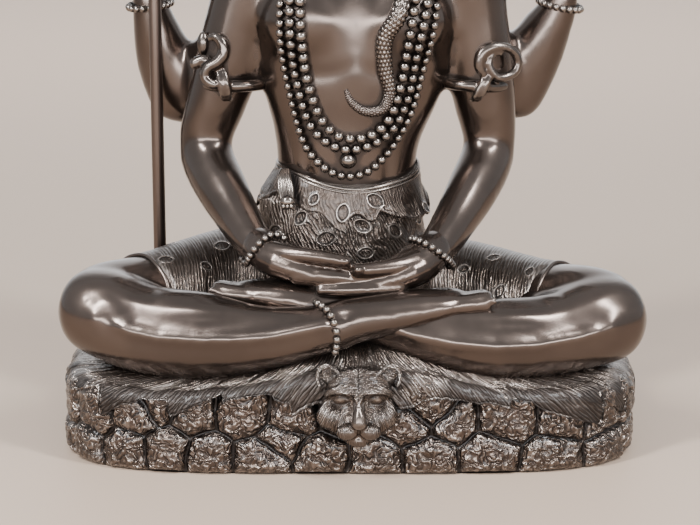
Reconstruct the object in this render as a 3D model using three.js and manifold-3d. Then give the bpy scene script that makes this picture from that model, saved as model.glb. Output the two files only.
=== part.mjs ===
// A seated four-armed figure in lotus pose, cast in one with its base of stone courses,
// and the loose trident that stands in a socket beside it.
// Millimetres, +Z up. The figure faces -Y. The origin is the centre of the flat underside.

import * as THREE from 'three';
import { mergeVertices } from 'three/addons/utils/BufferGeometryUtils.js';
import Module from 'manifold-3d';

// Base
const baseWidth = 132;
const baseDepth = 87;
const baseSquareness = 4.3; // power of the superellipse outline
const seatHeight = 20; // level of the skin that the figure sits on
const lowerCourseHeight = 8.6;
const upperCourseHeight = 8.2;
const stonesRound = 26; // in each course
const lowerStonesRight = [10.4, 13, 12.4, 19.5]; // widths from the front centre outwards
const lowerStonesLeft = [13.4, 13.1, 10.3, 8.4, 12.6];
const upperStonesRight = [16.8, 10.8, 14.6, 11.8, 21];
const upperStonesLeft = [17.4, 13.1, 13, 9.5];
const jointWidth = 1.1;
const jointDepth = 1.3;
const courseWave = 0.7; // rise and fall of the bed between the courses
const stoneBulge = 0.5;
const stoneEdge = 1.3; // rounding of a stone's upper and lower edges

// Animal skin over the base
const skinThickness = 1.6;
const skinEdgeRadius = 4.5;
const hemHeight = 16.4; // usual level of the hem above the ground
const hemToothDrop = 3.6;
const hemToothPitch = 21;
const furLockDepth = 0.5;
const moundHeight = 7.6;
const moundWidth = 19;

// Animal head at the front of the skin
const animalHeadX = 1.8;
const animalHeadWidth = 17;

// Figure
const figureHeight = 161; // seat to the top of the hair
const drawnHeight = 161; // height that the pose below is drawn at, in its own units

// Beads
const innerBead = 2.1;
const middleBead = 1.95;
const outerBead = 1.7;
const braceletBead = 1.7;
const beadPitch = 1.5; // bead diameters from one swelling of a cast strand to the next

// Trident
const rodDiameter = 3;
const rodX = -46;
const rodY = 8;
const tridentHeight = 178; // foot to tip
const tridentWidth = 25;
const prongLength = 30;
const prongThickness = 2.6;
const socketDepth = 3;
const rodClearance = 0.3;

// Facets
const mostFigureFaces = 9200;
const foldsPerRound = 0.12; // share of the faces that one round of thinning may take away
const gridCell = 3;

const unit = figureHeight / drawnHeight;
const rodRadius = rodDiameter / 2;
const coreHeight = lowerCourseHeight + upperCourseHeight;

const wasm = await Module();
wasm.setup();
const { Manifold, Mesh: SolidMesh } = wasm;

// Joining

function solid(geometry) {
  geometry.deleteAttribute('normal');
  geometry.deleteAttribute('uv');
  const merged = mergeVertices(geometry, 1e-4);
  return new Manifold(new SolidMesh({
    numProp: 3,
    vertProperties: Float32Array.from(merged.attributes.position.array),
    triVerts: Uint32Array.from(merged.index.array),
  }));
}

function geometryOf(body) {
  const { vertProperties, triVerts } = body.getMesh();
  const geometry = new THREE.BufferGeometry();
  geometry.setAttribute('position', new THREE.BufferAttribute(vertProperties, 3));
  geometry.setIndex(new THREE.BufferAttribute(triVerts, 1));
  return geometry;
}

function meshOf(geometry, name, material) {
  geometry.computeVertexNormals();
  const mesh = new THREE.Mesh(geometry, material);
  mesh.name = name;
  return mesh;
}

// Thinning

// Six times the signed volume of the tetrahedron a, b, c, d.
function sixVolumes(a, b, c, d) {
  const [ux, uy, uz] = [b.x - a.x, b.y - a.y, b.z - a.z];
  const [vx, vy, vz] = [c.x - a.x, c.y - a.y, c.z - a.z];
  const [wx, wy, wz] = [d.x - a.x, d.y - a.y, d.z - a.z];
  return (uy * vz - uz * vy) * wx + (uz * vx - ux * vz) * wy + (ux * vy - uy * vx) * wz;
}

// Whether the segment from p to q goes through the triangle a, b, c.
function pierces(p, q, [a, b, c]) {
  if (sixVolumes(a, b, c, p) * sixVolumes(a, b, c, q) >= 0) return false;
  const turn = sixVolumes(p, q, a, b) > 0;
  return turn === sixVolumes(p, q, b, c) > 0 && turn === sixVolumes(p, q, c, a) > 0;
}

function facesCross(one, other, places) {
  const shared = one.filter((vertex) => other.includes(vertex));
  if (shared.length > 1) return false;
  const goesThrough = (edges, face) => edges.some((vertex, i) => {
    const next = edges[(i + 1) % 3];
    if (shared.includes(vertex) || shared.includes(next)) return false;
    return pierces(places[vertex], places[next], face.map((corner) => places[corner]));
  });
  return goesThrough(one, other) || goesThrough(other, one);
}

function faceNormal(face, places) {
  const [a, b, c] = face.map((vertex) => places[vertex]);
  return new THREE.Vector3().crossVectors(b.clone().sub(a), c.clone().sub(a));
}

// The ten different terms of the squared distance to a face's plane, weighted by its area.
function planeTerms(face, places) {
  const normal = faceNormal(face, places);
  const area = normal.length() / 2;
  normal.normalize();
  const plane = [normal.x, normal.y, normal.z, -normal.dot(places[face[0]])];
  return plane.flatMap((first, i) => plane.slice(i).map((second) => first * second * area));
}

function movedError([xx, xy, xz, x1, yy, yz, y1, zz, z1, one], { x, y, z }) {
  return xx * x * x + yy * y * y + zz * z * z + 2 * (xy * x * y + xz * x * z + yz * y * z)
    + 2 * (x1 * x + y1 * y + z1 * z) + one;
}

// Where the one vertex that replaces two goes, and what the fold costs.
function planFold(from, to, places, terms) {
  const sum = terms[from].map((term, i) => term + terms[to][i]);
  const [xx, xy, xz, x1, yy, yz, y1, zz, z1] = sum;
  const length = places[from].distanceTo(places[to]);
  const middle = places[from].clone().lerp(places[to], 0.5);
  const choices = [middle, places[from], places[to]];
  const slopes = new THREE.Matrix3().set(xx, xy, xz, xy, yy, yz, xz, yz, zz);
  if (Math.abs(slopes.determinant()) > 1e-6) {
    const lowest = new THREE.Vector3(-x1, -y1, -z1).applyMatrix3(slopes.invert());
    if (lowest.distanceTo(middle) < length) choices.push(lowest);
  }
  const errors = choices.map((choice) => Math.max(0, movedError(sum, choice)));
  const least = Math.min(...errors);
  return { from, to, sum, place: choices[errors.indexOf(least)].clone(), cost: least + length * length * 1e-4 };
}

// Faces filed by the cells of a grid that their boxes touch.
class FaceGrid {
  constructor(places) {
    this.places = places;
    this.cells = new Map();
  }

  keys(face) {
    const corners = face.map((vertex) => this.places[vertex]);
    const range = (axis) => {
      const values = corners.map((corner) => Math.floor(corner[axis] / gridCell) + 512);
      return [Math.min(...values), Math.max(...values)];
    };
    const [[x0, x1], [y0, y1], [z0, z1]] = ['x', 'y', 'z'].map(range);
    const keys = [];
    for (let x = x0; x <= x1; x += 1) {
      for (let y = y0; y <= y1; y += 1) {
        for (let z = z0; z <= z1; z += 1) keys.push((x * 1024 + y) * 1024 + z);
      }
    }
    return keys;
  }

  file(number, face) {
    for (const key of this.keys(face)) {
      if (!this.cells.has(key)) this.cells.set(key, new Set());
      this.cells.get(key).add(number);
    }
  }

  near(face) {
    return new Set(this.keys(face).flatMap((key) => [...(this.cells.get(key) ?? [])]));
  }
}

// Folds away edges, those that show least first, until the mesh has few enough faces.
// A fold is left out where a face would turn over or go through another one.
function thinned(geometry, mostFaces) {
  const { position } = geometry.attributes;
  const places = Array.from({ length: position.count }, (_, i) => new THREE.Vector3().fromBufferAttribute(position, i));
  const faces = [];
  for (let i = 0; i < geometry.index.count; i += 3) faces.push([...geometry.index.array.slice(i, i + 3)]);
  const around = places.map(() => new Set());
  const terms = places.map(() => new Array(10).fill(0));
  const grid = new FaceGrid(places);
  faces.forEach((face, number) => {
    const plane = planeTerms(face, places);
    for (const vertex of face) {
      around[vertex].add(number);
      terms[vertex] = terms[vertex].map((term, i) => term + plane[i]);
    }
    grid.file(number, face);
  });
  const neighbours = (vertex) => {
    const found = new Set([...around[vertex]].flatMap((number) => faces[number]));
    found.delete(vertex);
    return found;
  };

  // Folds one edge if the faces round it stay sound, and tells whether it did.
  const fold = ({ from, to, sum, place }) => {
    const others = neighbours(to);
    const common = [...neighbours(from)].filter((vertex) => others.has(vertex));
    const lost = [...around[from]].filter((number) => around[to].has(number));
    if (common.length !== 2 || lost.length !== 2) return false;
    const kept = [...around[from], ...around[to]].filter((number) => !lost.includes(number));
    const before = kept.map((number) => faceNormal(faces[number], places));
    const moved = kept.map((number) => faces[number].map((vertex) => (vertex === to ? from : vertex)));
    const old = places[from];
    places[from] = place;
    const own = new Set([...kept, ...lost]);
    const isSound = moved.every((face, i) => {
      const after = faceNormal(face, places);
      if (after.length() < 1e-3 || after.dot(before[i]) < 0.35 * after.length() * before[i].length()) return false;
      for (const number of grid.near(face)) {
        if (faces[number] && !own.has(number) && facesCross(face, faces[number], places)) return false;
      }
      return moved.every((other, j) => j >= i || !facesCross(face, other, places));
    });
    if (!isSound) {
      places[from] = old;
      return false;
    }
    terms[from] = sum;
    for (const number of lost) {
      for (const vertex of faces[number]) around[vertex].delete(number);
      faces[number] = null;
    }
    kept.forEach((number, i) => {
      faces[number] = moved[i];
      around[from].add(number);
      grid.file(number, moved[i]);
    });
    around[to].clear();
    return true;
  };

  let count = faces.length;
  let folded = true;
  while (count > mostFaces && folded) {
    folded = false;
    const plans = [];
    around.forEach((_, from) => {
      for (const to of neighbours(from)) {
        if (from < to) plans.push(planFold(from, to, places, terms));
      }
    });
    plans.sort((one, other) => one.cost - other.cost);
    const least = Math.max(mostFaces, count * (1 - foldsPerRound));
    const touched = new Set();
    for (const plan of plans) {
      if (count <= least) break;
      if (touched.has(plan.from) || touched.has(plan.to)) continue;
      if (!fold(plan)) continue;
      for (const vertex of neighbours(plan.from)) touched.add(vertex);
      touched.add(plan.from);
      count -= 2;
      folded = true;
    }
  }

  const used = places.flatMap((_, vertex) => (around[vertex].size > 0 ? [vertex] : []));
  const renumbered = new Map(used.map((vertex, i) => [vertex, i]));
  const left = faces.filter(Boolean).flatMap((face) => face.map((vertex) => renumbered.get(vertex)));
  const result = new THREE.BufferGeometry();
  result.setFromPoints(used.map((vertex) => places[vertex]));
  result.setIndex(left);
  return result;
}

// Moves every vertex of a geometry by a rule on its own place.
function reshape(geometry, rule) {
  const position = geometry.attributes.position;
  const point = new THREE.Vector3();
  for (let i = 0; i < position.count; i += 1) {
    point.fromBufferAttribute(position, i);
    rule(point);
    position.setXYZ(i, point.x, point.y, point.z);
  }
  return geometry;
}

// A point of the pose, drawn above the seat in the figure's own units.
function posed([x, y, z]) {
  return new THREE.Vector3(x * unit, y * unit, seatHeight + z * unit);
}

// A rounded limb through stations [x, y, z, half width, half thickness], round-ended like a finger.
// The half width lies across "up", and the half thickness along it.
function limb(stations, { sides = 10, rings = 9, up = [0, 0, 1] } = {}) {
  const centre = new THREE.CatmullRomCurve3(stations.map(posed), false, 'centripetal');
  const radii = new THREE.CatmullRomCurve3(
    stations.map(([, , , wide, thick = wide]) => new THREE.Vector3(wide * unit, thick * unit, 0)),
  );
  const length = centre.getLength();
  const startCap = Math.min(0.5, radii.getPoint(0).x / length);
  const endCap = Math.min(0.5, radii.getPoint(1).x / length);
  const upward = new THREE.Vector3(...up);

  return reshape(new THREE.SphereGeometry(1, sides, rings), (point) => {
    const along = THREE.MathUtils.clamp((1 + point.y) / 2, 0, 1);
    const across = Math.hypot(point.x, point.z) || 1;
    const [cosine, sine] = [point.x / across, point.z / across];
    const fromEnd = Math.min(1, along / startCap, (1 - along) / endCap);
    const rounding = Math.sqrt(Math.max(0, 1 - (1 - fromEnd) ** 2));
    const tangent = centre.getTangent(along);
    const side = new THREE.Vector3().crossVectors(tangent, upward).normalize();
    const top = new THREE.Vector3().crossVectors(side, tangent);
    const size = radii.getPoint(along).multiplyScalar(rounding);
    point.copy(centre.getPoint(along));
    point.addScaledVector(side, cosine * size.x);
    point.addScaledVector(top, sine * size.y);
  });
}

// An ellipsoid of the pose.
function blob(centre, [rx, ry, rz], { sides = 10, rings = 7, tilt = [0, 0, 0] } = {}) {
  const turn = new THREE.Euler(...tilt);
  const place = posed(centre);
  return reshape(new THREE.SphereGeometry(1, sides, rings), (point) => {
    point.set(point.x * rx, point.z * -ry, point.y * rz).multiplyScalar(unit);
    point.applyEuler(turn).add(place);
  });
}

// A small bead with few faces.
function bead(place, diameter, sides = 5) {
  const radius = diameter / 2;
  return new THREE.SphereGeometry(radius, sides, 4).translate(place.x, place.y, place.z);
}

// A strand of beads cast in one: a closed ring of square tube that swells at each bead.
// The beads fill the first share of the ring, and the rest of it is plain.
function beadRing(curve, diameter, proudSide, beadedShare = 1) {
  const beads = Math.round((curve.getLength() * beadedShare) / (diameter * beadPitch));
  const plainSteps = beadedShare < 1 ? 7 : 0;
  const steps = beads * 2 + plainSteps;
  const reference = new THREE.Vector3(...proudSide);
  const tubeRadius = 0.2;
  return reshape(new THREE.TorusGeometry(1, tubeRadius, 4, steps), (point) => {
    const turn = (Math.atan2(point.y, point.x) / (2 * Math.PI) + 1) % 1;
    const step = Math.round(turn * steps) % steps;
    const isBeaded = step < beads * 2;
    const along = isBeaded
      ? (step / (beads * 2)) * beadedShare
      : beadedShare + ((step - beads * 2) / plainSteps) * (1 - beadedShare);
    const swell = isBeaded && step % 2 === 1 ? 0.62 : 0.3;
    const cosine = (Math.hypot(point.x, point.y) - 1) / tubeRadius;
    const sine = point.z / tubeRadius;
    const tangent = curve.getTangentAt(along);
    const proud = reference.clone().addScaledVector(tangent, -tangent.dot(reference)).normalize();
    const side = new THREE.Vector3().crossVectors(tangent, proud);
    point.copy(curve.getPointAt(along));
    point.addScaledVector(side, cosine * swell * diameter);
    point.addScaledVector(proud, sine * swell * diameter);
  });
}

// Base

// The superellipse outline of the base, drawn in by an inset, starting at the front centre.
function baseOutline(inset, points = 240) {
  const [a, b] = [baseWidth / 2 - inset, baseDepth / 2 - inset];
  const power = 2 / baseSquareness;
  const places = [];
  for (let i = 0; i < points; i += 1) {
    const angle = (i / points) * 2 * Math.PI - Math.PI / 2;
    const [cosine, sine] = [Math.cos(angle), Math.sin(angle)];
    places.push(new THREE.Vector2(
      Math.sign(cosine) * a * Math.abs(cosine) ** power,
      Math.sign(sine) * b * Math.abs(sine) ** power,
    ));
  }
  places.push(places[0].clone());
  return new THREE.Path(places);
}

const wall = baseOutline(0);
const wallLength = wall.getLength();

// Place and outward direction on the wall at a distance from the front centre.
function onWall(distance) {
  const share = (((distance / wallLength) % 1) + 1) % 1;
  const place = wall.getPointAt(share);
  const slope = (value, half) => Math.sign(value) * Math.abs(value / half) ** (baseSquareness - 1) / half;
  const outward = new THREE.Vector2(slope(place.x, baseWidth / 2), slope(place.y, baseDepth / 2));
  return { place, outward: outward.normalize() };
}

// The joints of a course, as distances round the wall from the front centre.
function joints(rightWidths, leftWidths) {
  const sum = (widths) => widths.reduce((total, width) => total + width, 0);
  const spare = stonesRound - rightWidths.length - leftWidths.length;
  const plain = (wallLength - sum(rightWidths) - sum(leftWidths)) / spare;
  const widths = [...rightWidths, ...Array(spare).fill(plain), ...[...leftWidths].reverse()];
  let edge = 0;
  return [0, ...widths.map((width) => {
    edge += width;
    return edge;
  })];
}

const lowerJoints = joints(lowerStonesRight, lowerStonesLeft);
const upperJoints = joints(upperStonesRight, upperStonesLeft);
const bedJoints = lowerJoints.map((edge, i) => (edge + upperJoints[i]) / 2);

// Level of the top of the skin: flat, with a mound at the front centre under the crossed ankles.
function skinTop(x, y) {
  const forward = THREE.MathUtils.smoothstep(-y, baseDepth * 0.12, baseDepth * 0.4);
  return seatHeight + moundHeight * Math.exp(-((x / moundWidth) ** 2)) * forward;
}

// Level of the jagged hem at a distance from the front centre.
function hemLevel(distance) {
  const phase = (((distance / hemToothPitch) % 1) + 1) % 1;
  const tooth = Math.max(0, 1 - Math.abs(phase - 0.62) * 4);
  const ragged = 0.7 * Math.sin(distance * 0.83);
  return hemHeight - hemToothDrop * tooth + ragged;
}

// The base in one piece, as a net of rows from the top of the skin to the underside.
// Four columns belong to each stone: its joint, its left edge, its middle and its right edge.
function base() {
  const perStone = 4;
  const columns = stonesRound * perStone;
  const skinRows = [
    { reach: 0, drop: 0 },
    { reach: 0.5, drop: 0 },
    { reach: 0.82, drop: 0 },
    { reach: 0.95, drop: 0.12 },
    { reach: 1, drop: 0.45 },
  ];
  const wallRows = [
    { edges: upperJoints, level: coreHeight - stoneEdge, recess: 0 },
    { edges: upperJoints, level: lowerCourseHeight + stoneEdge, recess: 0 },
    { edges: bedJoints, level: lowerCourseHeight, recess: jointDepth },
    { edges: lowerJoints, level: lowerCourseHeight - stoneEdge, recess: 0 },
    { edges: lowerJoints, level: stoneEdge, recess: 0 },
    { edges: lowerJoints, level: 0, recess: jointDepth / 2 },
  ];
  const hemRow = skinRows.length;
  const firstWallRow = hemRow + 2;
  const underside = firstWallRow + wallRows.length;

  return reshape(new THREE.SphereGeometry(1, columns, underside), (point) => {
    const row = Math.round((Math.acos(THREE.MathUtils.clamp(point.y, -1, 1)) / Math.PI) * underside);
    const turn = (Math.atan2(point.z, -point.x) / (2 * Math.PI) + 1) % 1;
    const column = Math.round(turn * columns) % columns;
    const which = Math.floor(column / perStone);
    const part = column % perStone;
    const { edges, level, recess } = wallRows[Math.max(0, Math.min(row, underside - 1) - firstWallRow)];
    const [from, to] = [edges[which], edges[which + 1]];
    const distance = [from, from + jointWidth, (from + to) / 2, to - jointWidth][part];
    const { place, outward } = onWall(distance);
    const hem = hemLevel(distance);
    if (row === underside) {
      point.set(0, 0, 0);
      return;
    }
    if (row < hemRow) {
      const { reach, drop } = skinRows[row];
      const lock = row >= hemRow - 2 && column % 2 === 1 ? furLockDepth : 0;
      const top = skinTop(place.x * reach, place.y * reach);
      point.set(place.x * reach, place.y * reach, top - drop * skinEdgeRadius);
      point.x += outward.x * lock;
      point.y += outward.y * lock;
      return;
    }
    let out = skinThickness * 0.6 + (column % 2 === 1 ? furLockDepth : 0);
    let z = hem;
    if (row === hemRow + 1) out = 0;
    if (row >= firstWallRow) {
      const isFace = part > 0 && recess === 0;
      const nearBed = Math.abs(level - lowerCourseHeight) < stoneEdge * 1.1;
      out = isFace ? stoneBulge * (part === 2 ? 1 : 0.2) : -jointDepth;
      if (level === 0) out = -recess;
      const wave = nearBed ? courseWave * Math.sin(distance * 0.31) : 0;
      z = Math.min(level + wave, hem - stoneEdge * (row === firstWallRow ? 0.5 : 1.5));
    }
    point.set(place.x + outward.x * out, place.y + outward.y * out, Math.max(0, z));
  });
}

// The flat-faced big cat's head that hangs at the front of the skin.
function animalHead() {
  const share = animalHeadWidth / 17;
  const front = -baseDepth / 2;
  const middle = hemHeight - 1;
  const shapes = [];
  const add = (x, y, z, rx, ry, rz, detail = {}) => {
    const { sides, rings, tilt = [0, 0, 0] } = detail;
    const turn = new THREE.Euler(...tilt);
    shapes.push(reshape(new THREE.SphereGeometry(1, sides, rings), (point) => {
      point.set(point.x * rx * share, point.z * -ry * share, point.y * rz * share);
      point.applyEuler(turn);
      point.x += animalHeadX + x * share;
      point.y += front + y * share;
      point.z += middle + z * share;
    }));
  };
  const small = { sides: 6, rings: 4 };
  add(0, 0.8, 2.2, 8.2, 4.6, 7.2, { sides: 10, rings: 6 });
  add(0, -0.6, -4.2, 5, 3.4, 4.6, { sides: 8, rings: 5 });
  add(0, -3, -0.4, 1.8, 1.9, 4.2, small);
  add(0, -4.1, -3.1, 2.1, 1.3, 1.3, small);
  for (const side of [-1, 1]) {
    add(side * 2, -2.8, -4.8, 2.3, 1.6, 1.8, small);
    add(side * 4.1, -2.6, 3.2, 3, 1.6, 1.3, { sides: 6, rings: 4, tilt: [0, side * -0.32, 0] });
    add(side * 5.6, -0.8, -1.4, 2.5, 2.7, 3.3, small);
    add(side * 6.7, 1.6, 8.6, 2.4, 1.7, 2.8, small);
  }
  return shapes;
}

// Figure

const torsoSections = [
  [-0.6, 4, 10, 21, 15],
  [-0.8, 1.5, 30, 19, 14],
  [-0.8, 0.6, 42, 16.4, 12.2],
  [-0.6, 0.5, 50, 17.4, 12.5],
  [0.2, 0.5, 60, 21, 13.3],
  [1, 0.8, 70, 23, 14],
  [1.6, 1.2, 79, 23.5, 13.5],
  [2.2, 2, 88, 21.5, 12],
  [2.4, 2.6, 95, 15.5, 9.6],
  [2.5, 2.8, 101, 8, 7.5],
];
const chestPlates = [
  { centre: [-9, -6.2, 76], radii: [11.5, 8, 10.5] },
  { centre: [11, -6.2, 76], radii: [11.5, 8, 10.5] },
];

function torso() {
  const shapes = [limb(torsoSections, { sides: 16, rings: 12, up: [0, -1, 0] })];
  for (const { centre, radii } of chestPlates) {
    shapes.push(blob(centre, radii, { sides: 9, rings: 6 }));
  }
  shapes.push(blob([-0.7, -4.2, 48], [11, 8.4, 10], { sides: 8, rings: 5 }));
  shapes.push(limb([[2.5, 3.2, 88, 7.8], [2.6, 2.4, 99, 7.6], [2.6, 1.4, 113, 7.4]], { sides: 10, rings: 5 }));
  return shapes;
}

// Depth of the front of the chest at a place on it.
function chestFront(x, z) {
  let lower = torsoSections[0];
  let upper = torsoSections[torsoSections.length - 1];
  for (let i = 1; i < torsoSections.length; i += 1) {
    if (torsoSections[i][2] >= z) {
      lower = torsoSections[i - 1];
      upper = torsoSections[i];
      break;
    }
  }
  const share = THREE.MathUtils.clamp((z - lower[2]) / (upper[2] - lower[2]), 0, 1);
  const [cx, cy, , wide, thick] = lower.map((value, i) => THREE.MathUtils.lerp(value, upper[i], share));
  const across = THREE.MathUtils.clamp((x - cx) / wide, -0.98, 0.98);
  let front = cy - thick * Math.sqrt(1 - across * across);
  for (const { centre, radii } of chestPlates) {
    const left = 1 - ((x - centre[0]) / radii[0]) ** 2 - ((z - centre[2]) / radii[2]) ** 2;
    if (left > 0) front = Math.min(front, centre[1] - radii[1] * Math.sqrt(left));
  }
  return front;
}

// Legs. "Near" is the leg whose shin crosses in front, "far" the one that passes behind it.
const nearThigh = [[-6, 15, 14, 12], [-16, 11, 14, 13.5], [-29, 3, 13.4, 12.4], [-45, -10, 11, 12.4],
  [-56, -19, 12, 11], [-65.4, -23, 12.4, 8]];
const nearShin = [[-65.6, -21, 12, 8], [-57, -24.5, 11.6, 10.8], [-46, -29, 10, 9.4], [-33, -32.5, 9, 8.7],
  [-20, -35, 9.3, 7.3], [-5, -37.3, 13.2, 5.6], [2, -37, 14, 5.2]];
const farThigh = [[6, 15, 13, 12], [16, 11, 13, 13], [29, 3, 11.8, 12], [44, -9, 10, 12],
  [56, -19, 10.8, 11], [66.6, -22, 10, 8]];
const farShin = [[66.8, -20, 10, 8], [58, -24, 10.4, 10.6], [46, -28.5, 9.4, 9.6], [33, -31.6, 9.2, 8.8],
  [20, -33.2, 10.2, 7.4], [8, -32.5, 13, 5.8], [-1, -31, 15, 5]];

function legs() {
  return [
    limb(nearThigh, { sides: 12, rings: 8 }),
    limb(nearShin, { sides: 12, rings: 10 }),
    limb(farThigh, { sides: 12, rings: 8 }),
    limb(farShin, { sides: 12, rings: 10 }),
  ];
}

// A foot with its sole turned up, and its toes side by side from front to back.
function foot(stations, toeRoot, toeTip, biggest) {
  const shapes = [limb(stations, { sides: 8, rings: 6 })];
  const pointing = Math.sign(toeTip[0] - toeRoot[0]);
  for (let toe = 0; toe < 5; toe += 1) {
    const size = biggest * (toe === 0 ? 1 : 0.82 - toe * 0.05);
    const step = toe * 2.1;
    const reach = [0, 1.1, 0.3, -1, -2.6][toe] * pointing;
    const lift = toe === 0 ? 0 : 0.5;
    const root = [toeRoot[0] - 2 * pointing, toeRoot[1] + step, toeRoot[2] + lift, size];
    const middle = [(toeRoot[0] + toeTip[0]) / 2, (toeRoot[1] + toeTip[1]) / 2 + step, toeTip[2] + lift - 0.4, size];
    const tip = [toeTip[0] + reach, toeTip[1] + step, toeTip[2] + lift, size];
    shapes.push(limb([root, middle, tip], { sides: 5, rings: 4 }));
  }
  return shapes;
}

function feet() {
  const near = foot(
    [[-6, -37, 13.3, 5.6], [4, -35.6, 14, 6, 5.1], [13, -33.6, 15.2, 6.5, 4.2],
      [21, -31.5, 16.4, 6.4, 2.9], [26, -30.6, 17, 5.2, 2.2]],
    [21, -35.4, 16.4],
    [30.4, -34.2, 17.1],
    2,
  );
  const far = foot(
    [[2, -31, 14.8, 5], [-8, -29.4, 16, 5.6, 4.4], [-16, -27.8, 17.2, 6, 3.5],
      [-23, -26.4, 17.8, 5.4, 2.5], [-26, -26, 18, 4.4, 1.9]],
    [-22, -29.6, 17.8],
    [-29.4, -28, 18.6],
    1.8,
  );
  return [...near, ...far];
}

// Front arms and the hands that rest in the lap.
function frontArms() {
  const left = [
    limb([[-13, 3, 92, 8], [-20.6, 2.6, 87.5, 9.4], [-25.2, 2.2, 76, 8], [-30.4, 2.8, 60, 7.5],
      [-34.3, 4, 48.5, 6.4], [-35.4, 4.6, 41.5, 5]], { sides: 10, rings: 9, up: [0, -1, 0] }),
    limb([[-36, 7.5, 46, 5], [-34.4, 3.6, 44, 6.3], [-30.6, -4, 38.4, 6.4], [-25.4, -13, 31.6, 5.4],
      [-20.4, -22, 26.4, 4.5], [-16.5, -27, 24.6, 4.2]], { sides: 10, rings: 9 }),
  ];
  const right = [
    limb([[18, 3, 92, 8], [25.8, 2.6, 87.5, 9.4], [29, 2.2, 76, 7.8], [31.2, 2.8, 60, 7.7],
      [33.2, 4, 48.5, 6.4], [33.8, 4.6, 41.5, 5]], { sides: 10, rings: 9, up: [0, -1, 0] }),
    limb([[34.6, 7.5, 46, 5], [33, 3.6, 44, 6.3], [29.4, -4, 38.4, 6.4], [24, -13, 31.2, 5.4],
      [18.8, -22, 25.6, 4.5], [15.4, -26.6, 24, 4.2]], { sides: 10, rings: 9 }),
  ];
  return [...left, ...right];
}

function lapHands() {
  const shapes = [
    // Upper hand: palm, thumb and the four fingers side by side
    limb([[-20, -23, 25, 4.4], [-14, -27.5, 23.6, 5.4, 3.6], [-7, -28.6, 22.4, 5.6, 3], [1, -28.6, 21.8, 5, 2.4]],
      { sides: 8, rings: 6 }),
    limb([[-17.4, -28, 25.4, 2.6], [-9, -32, 26.2, 2.2], [-4, -33.2, 25.9, 1.9], [0.2, -33.8, 25, 1.6]],
      { sides: 6, rings: 6 }),
    // Lower hand
    limb([[18.6, -23, 24.4, 4.4], [13.4, -27.4, 22.6, 5.6, 4], [7, -28.8, 20.8, 5.8, 3.2], [0, -28.8, 20, 5, 2.6]],
      { sides: 8, rings: 6 }),
    limb([[14.6, -28.4, 25.2, 2.8], [9, -32, 24.8, 2.2], [4.4, -33.6, 24.2, 1.8], [0.7, -34.2, 23.7, 1.6]],
      { sides: 6, rings: 6 }),
  ];
  for (let finger = 0; finger < 4; finger += 1) {
    const back = finger * 2.5;
    const longer = [0, 1.4, 0.8, -1.4][finger];
    shapes.push(limb([[-11, -32.4 + back, 22.6, 1.6], [-4, -33 + back, 22.4, 1.5], [3 + longer, -32.6 + back, 21.9, 1.3]],
      { sides: 5, rings: 4 }));
    shapes.push(limb([[7, -33.2 + back, 20.4, 1.7], [0, -33.6 + back, 19.9, 1.5], [-8 - longer, -32.8 + back, 19.4, 1.2]],
      { sides: 5, rings: 4 }));
  }
  return shapes;
}

// Rear arms: down and out from the shoulders, then up from the elbows.
const leftWrist = [rodX - 1.9, rodY + 7.6, 78.5];
const rightWrist = [50.2, 15.6, 78.5];

function rearArms() {
  const slim = { sides: 9, rings: 7, up: [0, -1, 0] };
  return [
    limb([[-10, 8, 90, 7], [-17, 9, 85, 7.8], [-27, 12, 72, 7.4], [-36, 16.4, 59.6, 6.8], [-42.6, 18.4, 50.4, 5.2]], slim),
    limb([[-41.6, 18.8, 49.8, 4.6], [-43.4, 18.4, 58, 6.5], [-45.6, 17.4, 68, 6.7], leftWrist.concat(4.6),
      [leftWrist[0] - 0.4, leftWrist[1], leftWrist[2] + 6, 4.2]], slim),
    limb([[15, 8, 90, 7], [22, 9, 85, 7.8], [30, 12, 72, 7.4], [36.6, 16.4, 60, 6.8], [40.6, 18.4, 51, 5.2]], slim),
    limb([[39.8, 18.8, 50.4, 4.6], [42, 18.4, 59, 6.6], [46, 17.4, 70, 6.8], rightWrist.concat(4.6),
      [rightWrist[0] + 0.8, rightWrist[1], rightWrist[2] + 6, 4.2]], slim),
  ];
}

// The left rear hand closes round the trident, the right one is raised with an open palm.
function rearHands() {
  const [gripX, gripY] = [rodX / unit, rodY / unit];
  const shapes = [
    limb([[leftWrist[0] - 0.4, leftWrist[1], leftWrist[2] + 3, 4.4], [gripX - 4, gripY + 5.4, 87, 4.6, 3.6],
      [gripX - 4.2, gripY + 3.6, 93, 4.4, 3.4]], { sides: 7, rings: 5, up: [0, -1, 0] }),
    limb([[gripX - 1, gripY + 6, 86, 2], [gripX + 3.4, gripY + 3, 88.5, 1.8], [gripX + 3, gripY - 1.6, 91, 1.5]],
      { sides: 5, rings: 5 }),
    limb([[50.8, 15, 81, 4.4], [51.6, 13.6, 87, 5.4, 2.8], [52, 13, 93, 5.2, 2.2]],
      { sides: 7, rings: 5, up: [0, -1, 0] }),
    limb([[49, 13.6, 84.5, 2.2], [45.6, 11.8, 89, 1.9], [44.6, 11.2, 93.4, 1.5]], { sides: 5, rings: 5, up: [0, -1, 0] }),
  ];
  for (let finger = 0; finger < 4; finger += 1) {
    const level = 86.6 + finger * 2.7;
    const spread = (finger - 1.5) * 2.7;
    const tip = [103, 105.6, 104.8, 101][finger];
    shapes.push(limb([[gripX - 4.6, gripY + 3.4, level, 1.6], [gripX - 4.4, gripY - 2, level, 1.5],
      [gripX - 0.6, gripY - 4, level, 1.4], [gripX + 3, gripY - 1.6, level, 1.3]], { sides: 5, rings: 6 }));
    shapes.push(limb([[52 + spread, 13, 91, 1.7], [52.2 + spread * 1.1, 12.4, 98, 1.5], [52.4 + spread * 1.15, 11.4, tip, 1.2]],
      { sides: 5, rings: 5, up: [0, -1, 0] }));
  }
  return shapes;
}

// Head

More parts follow.
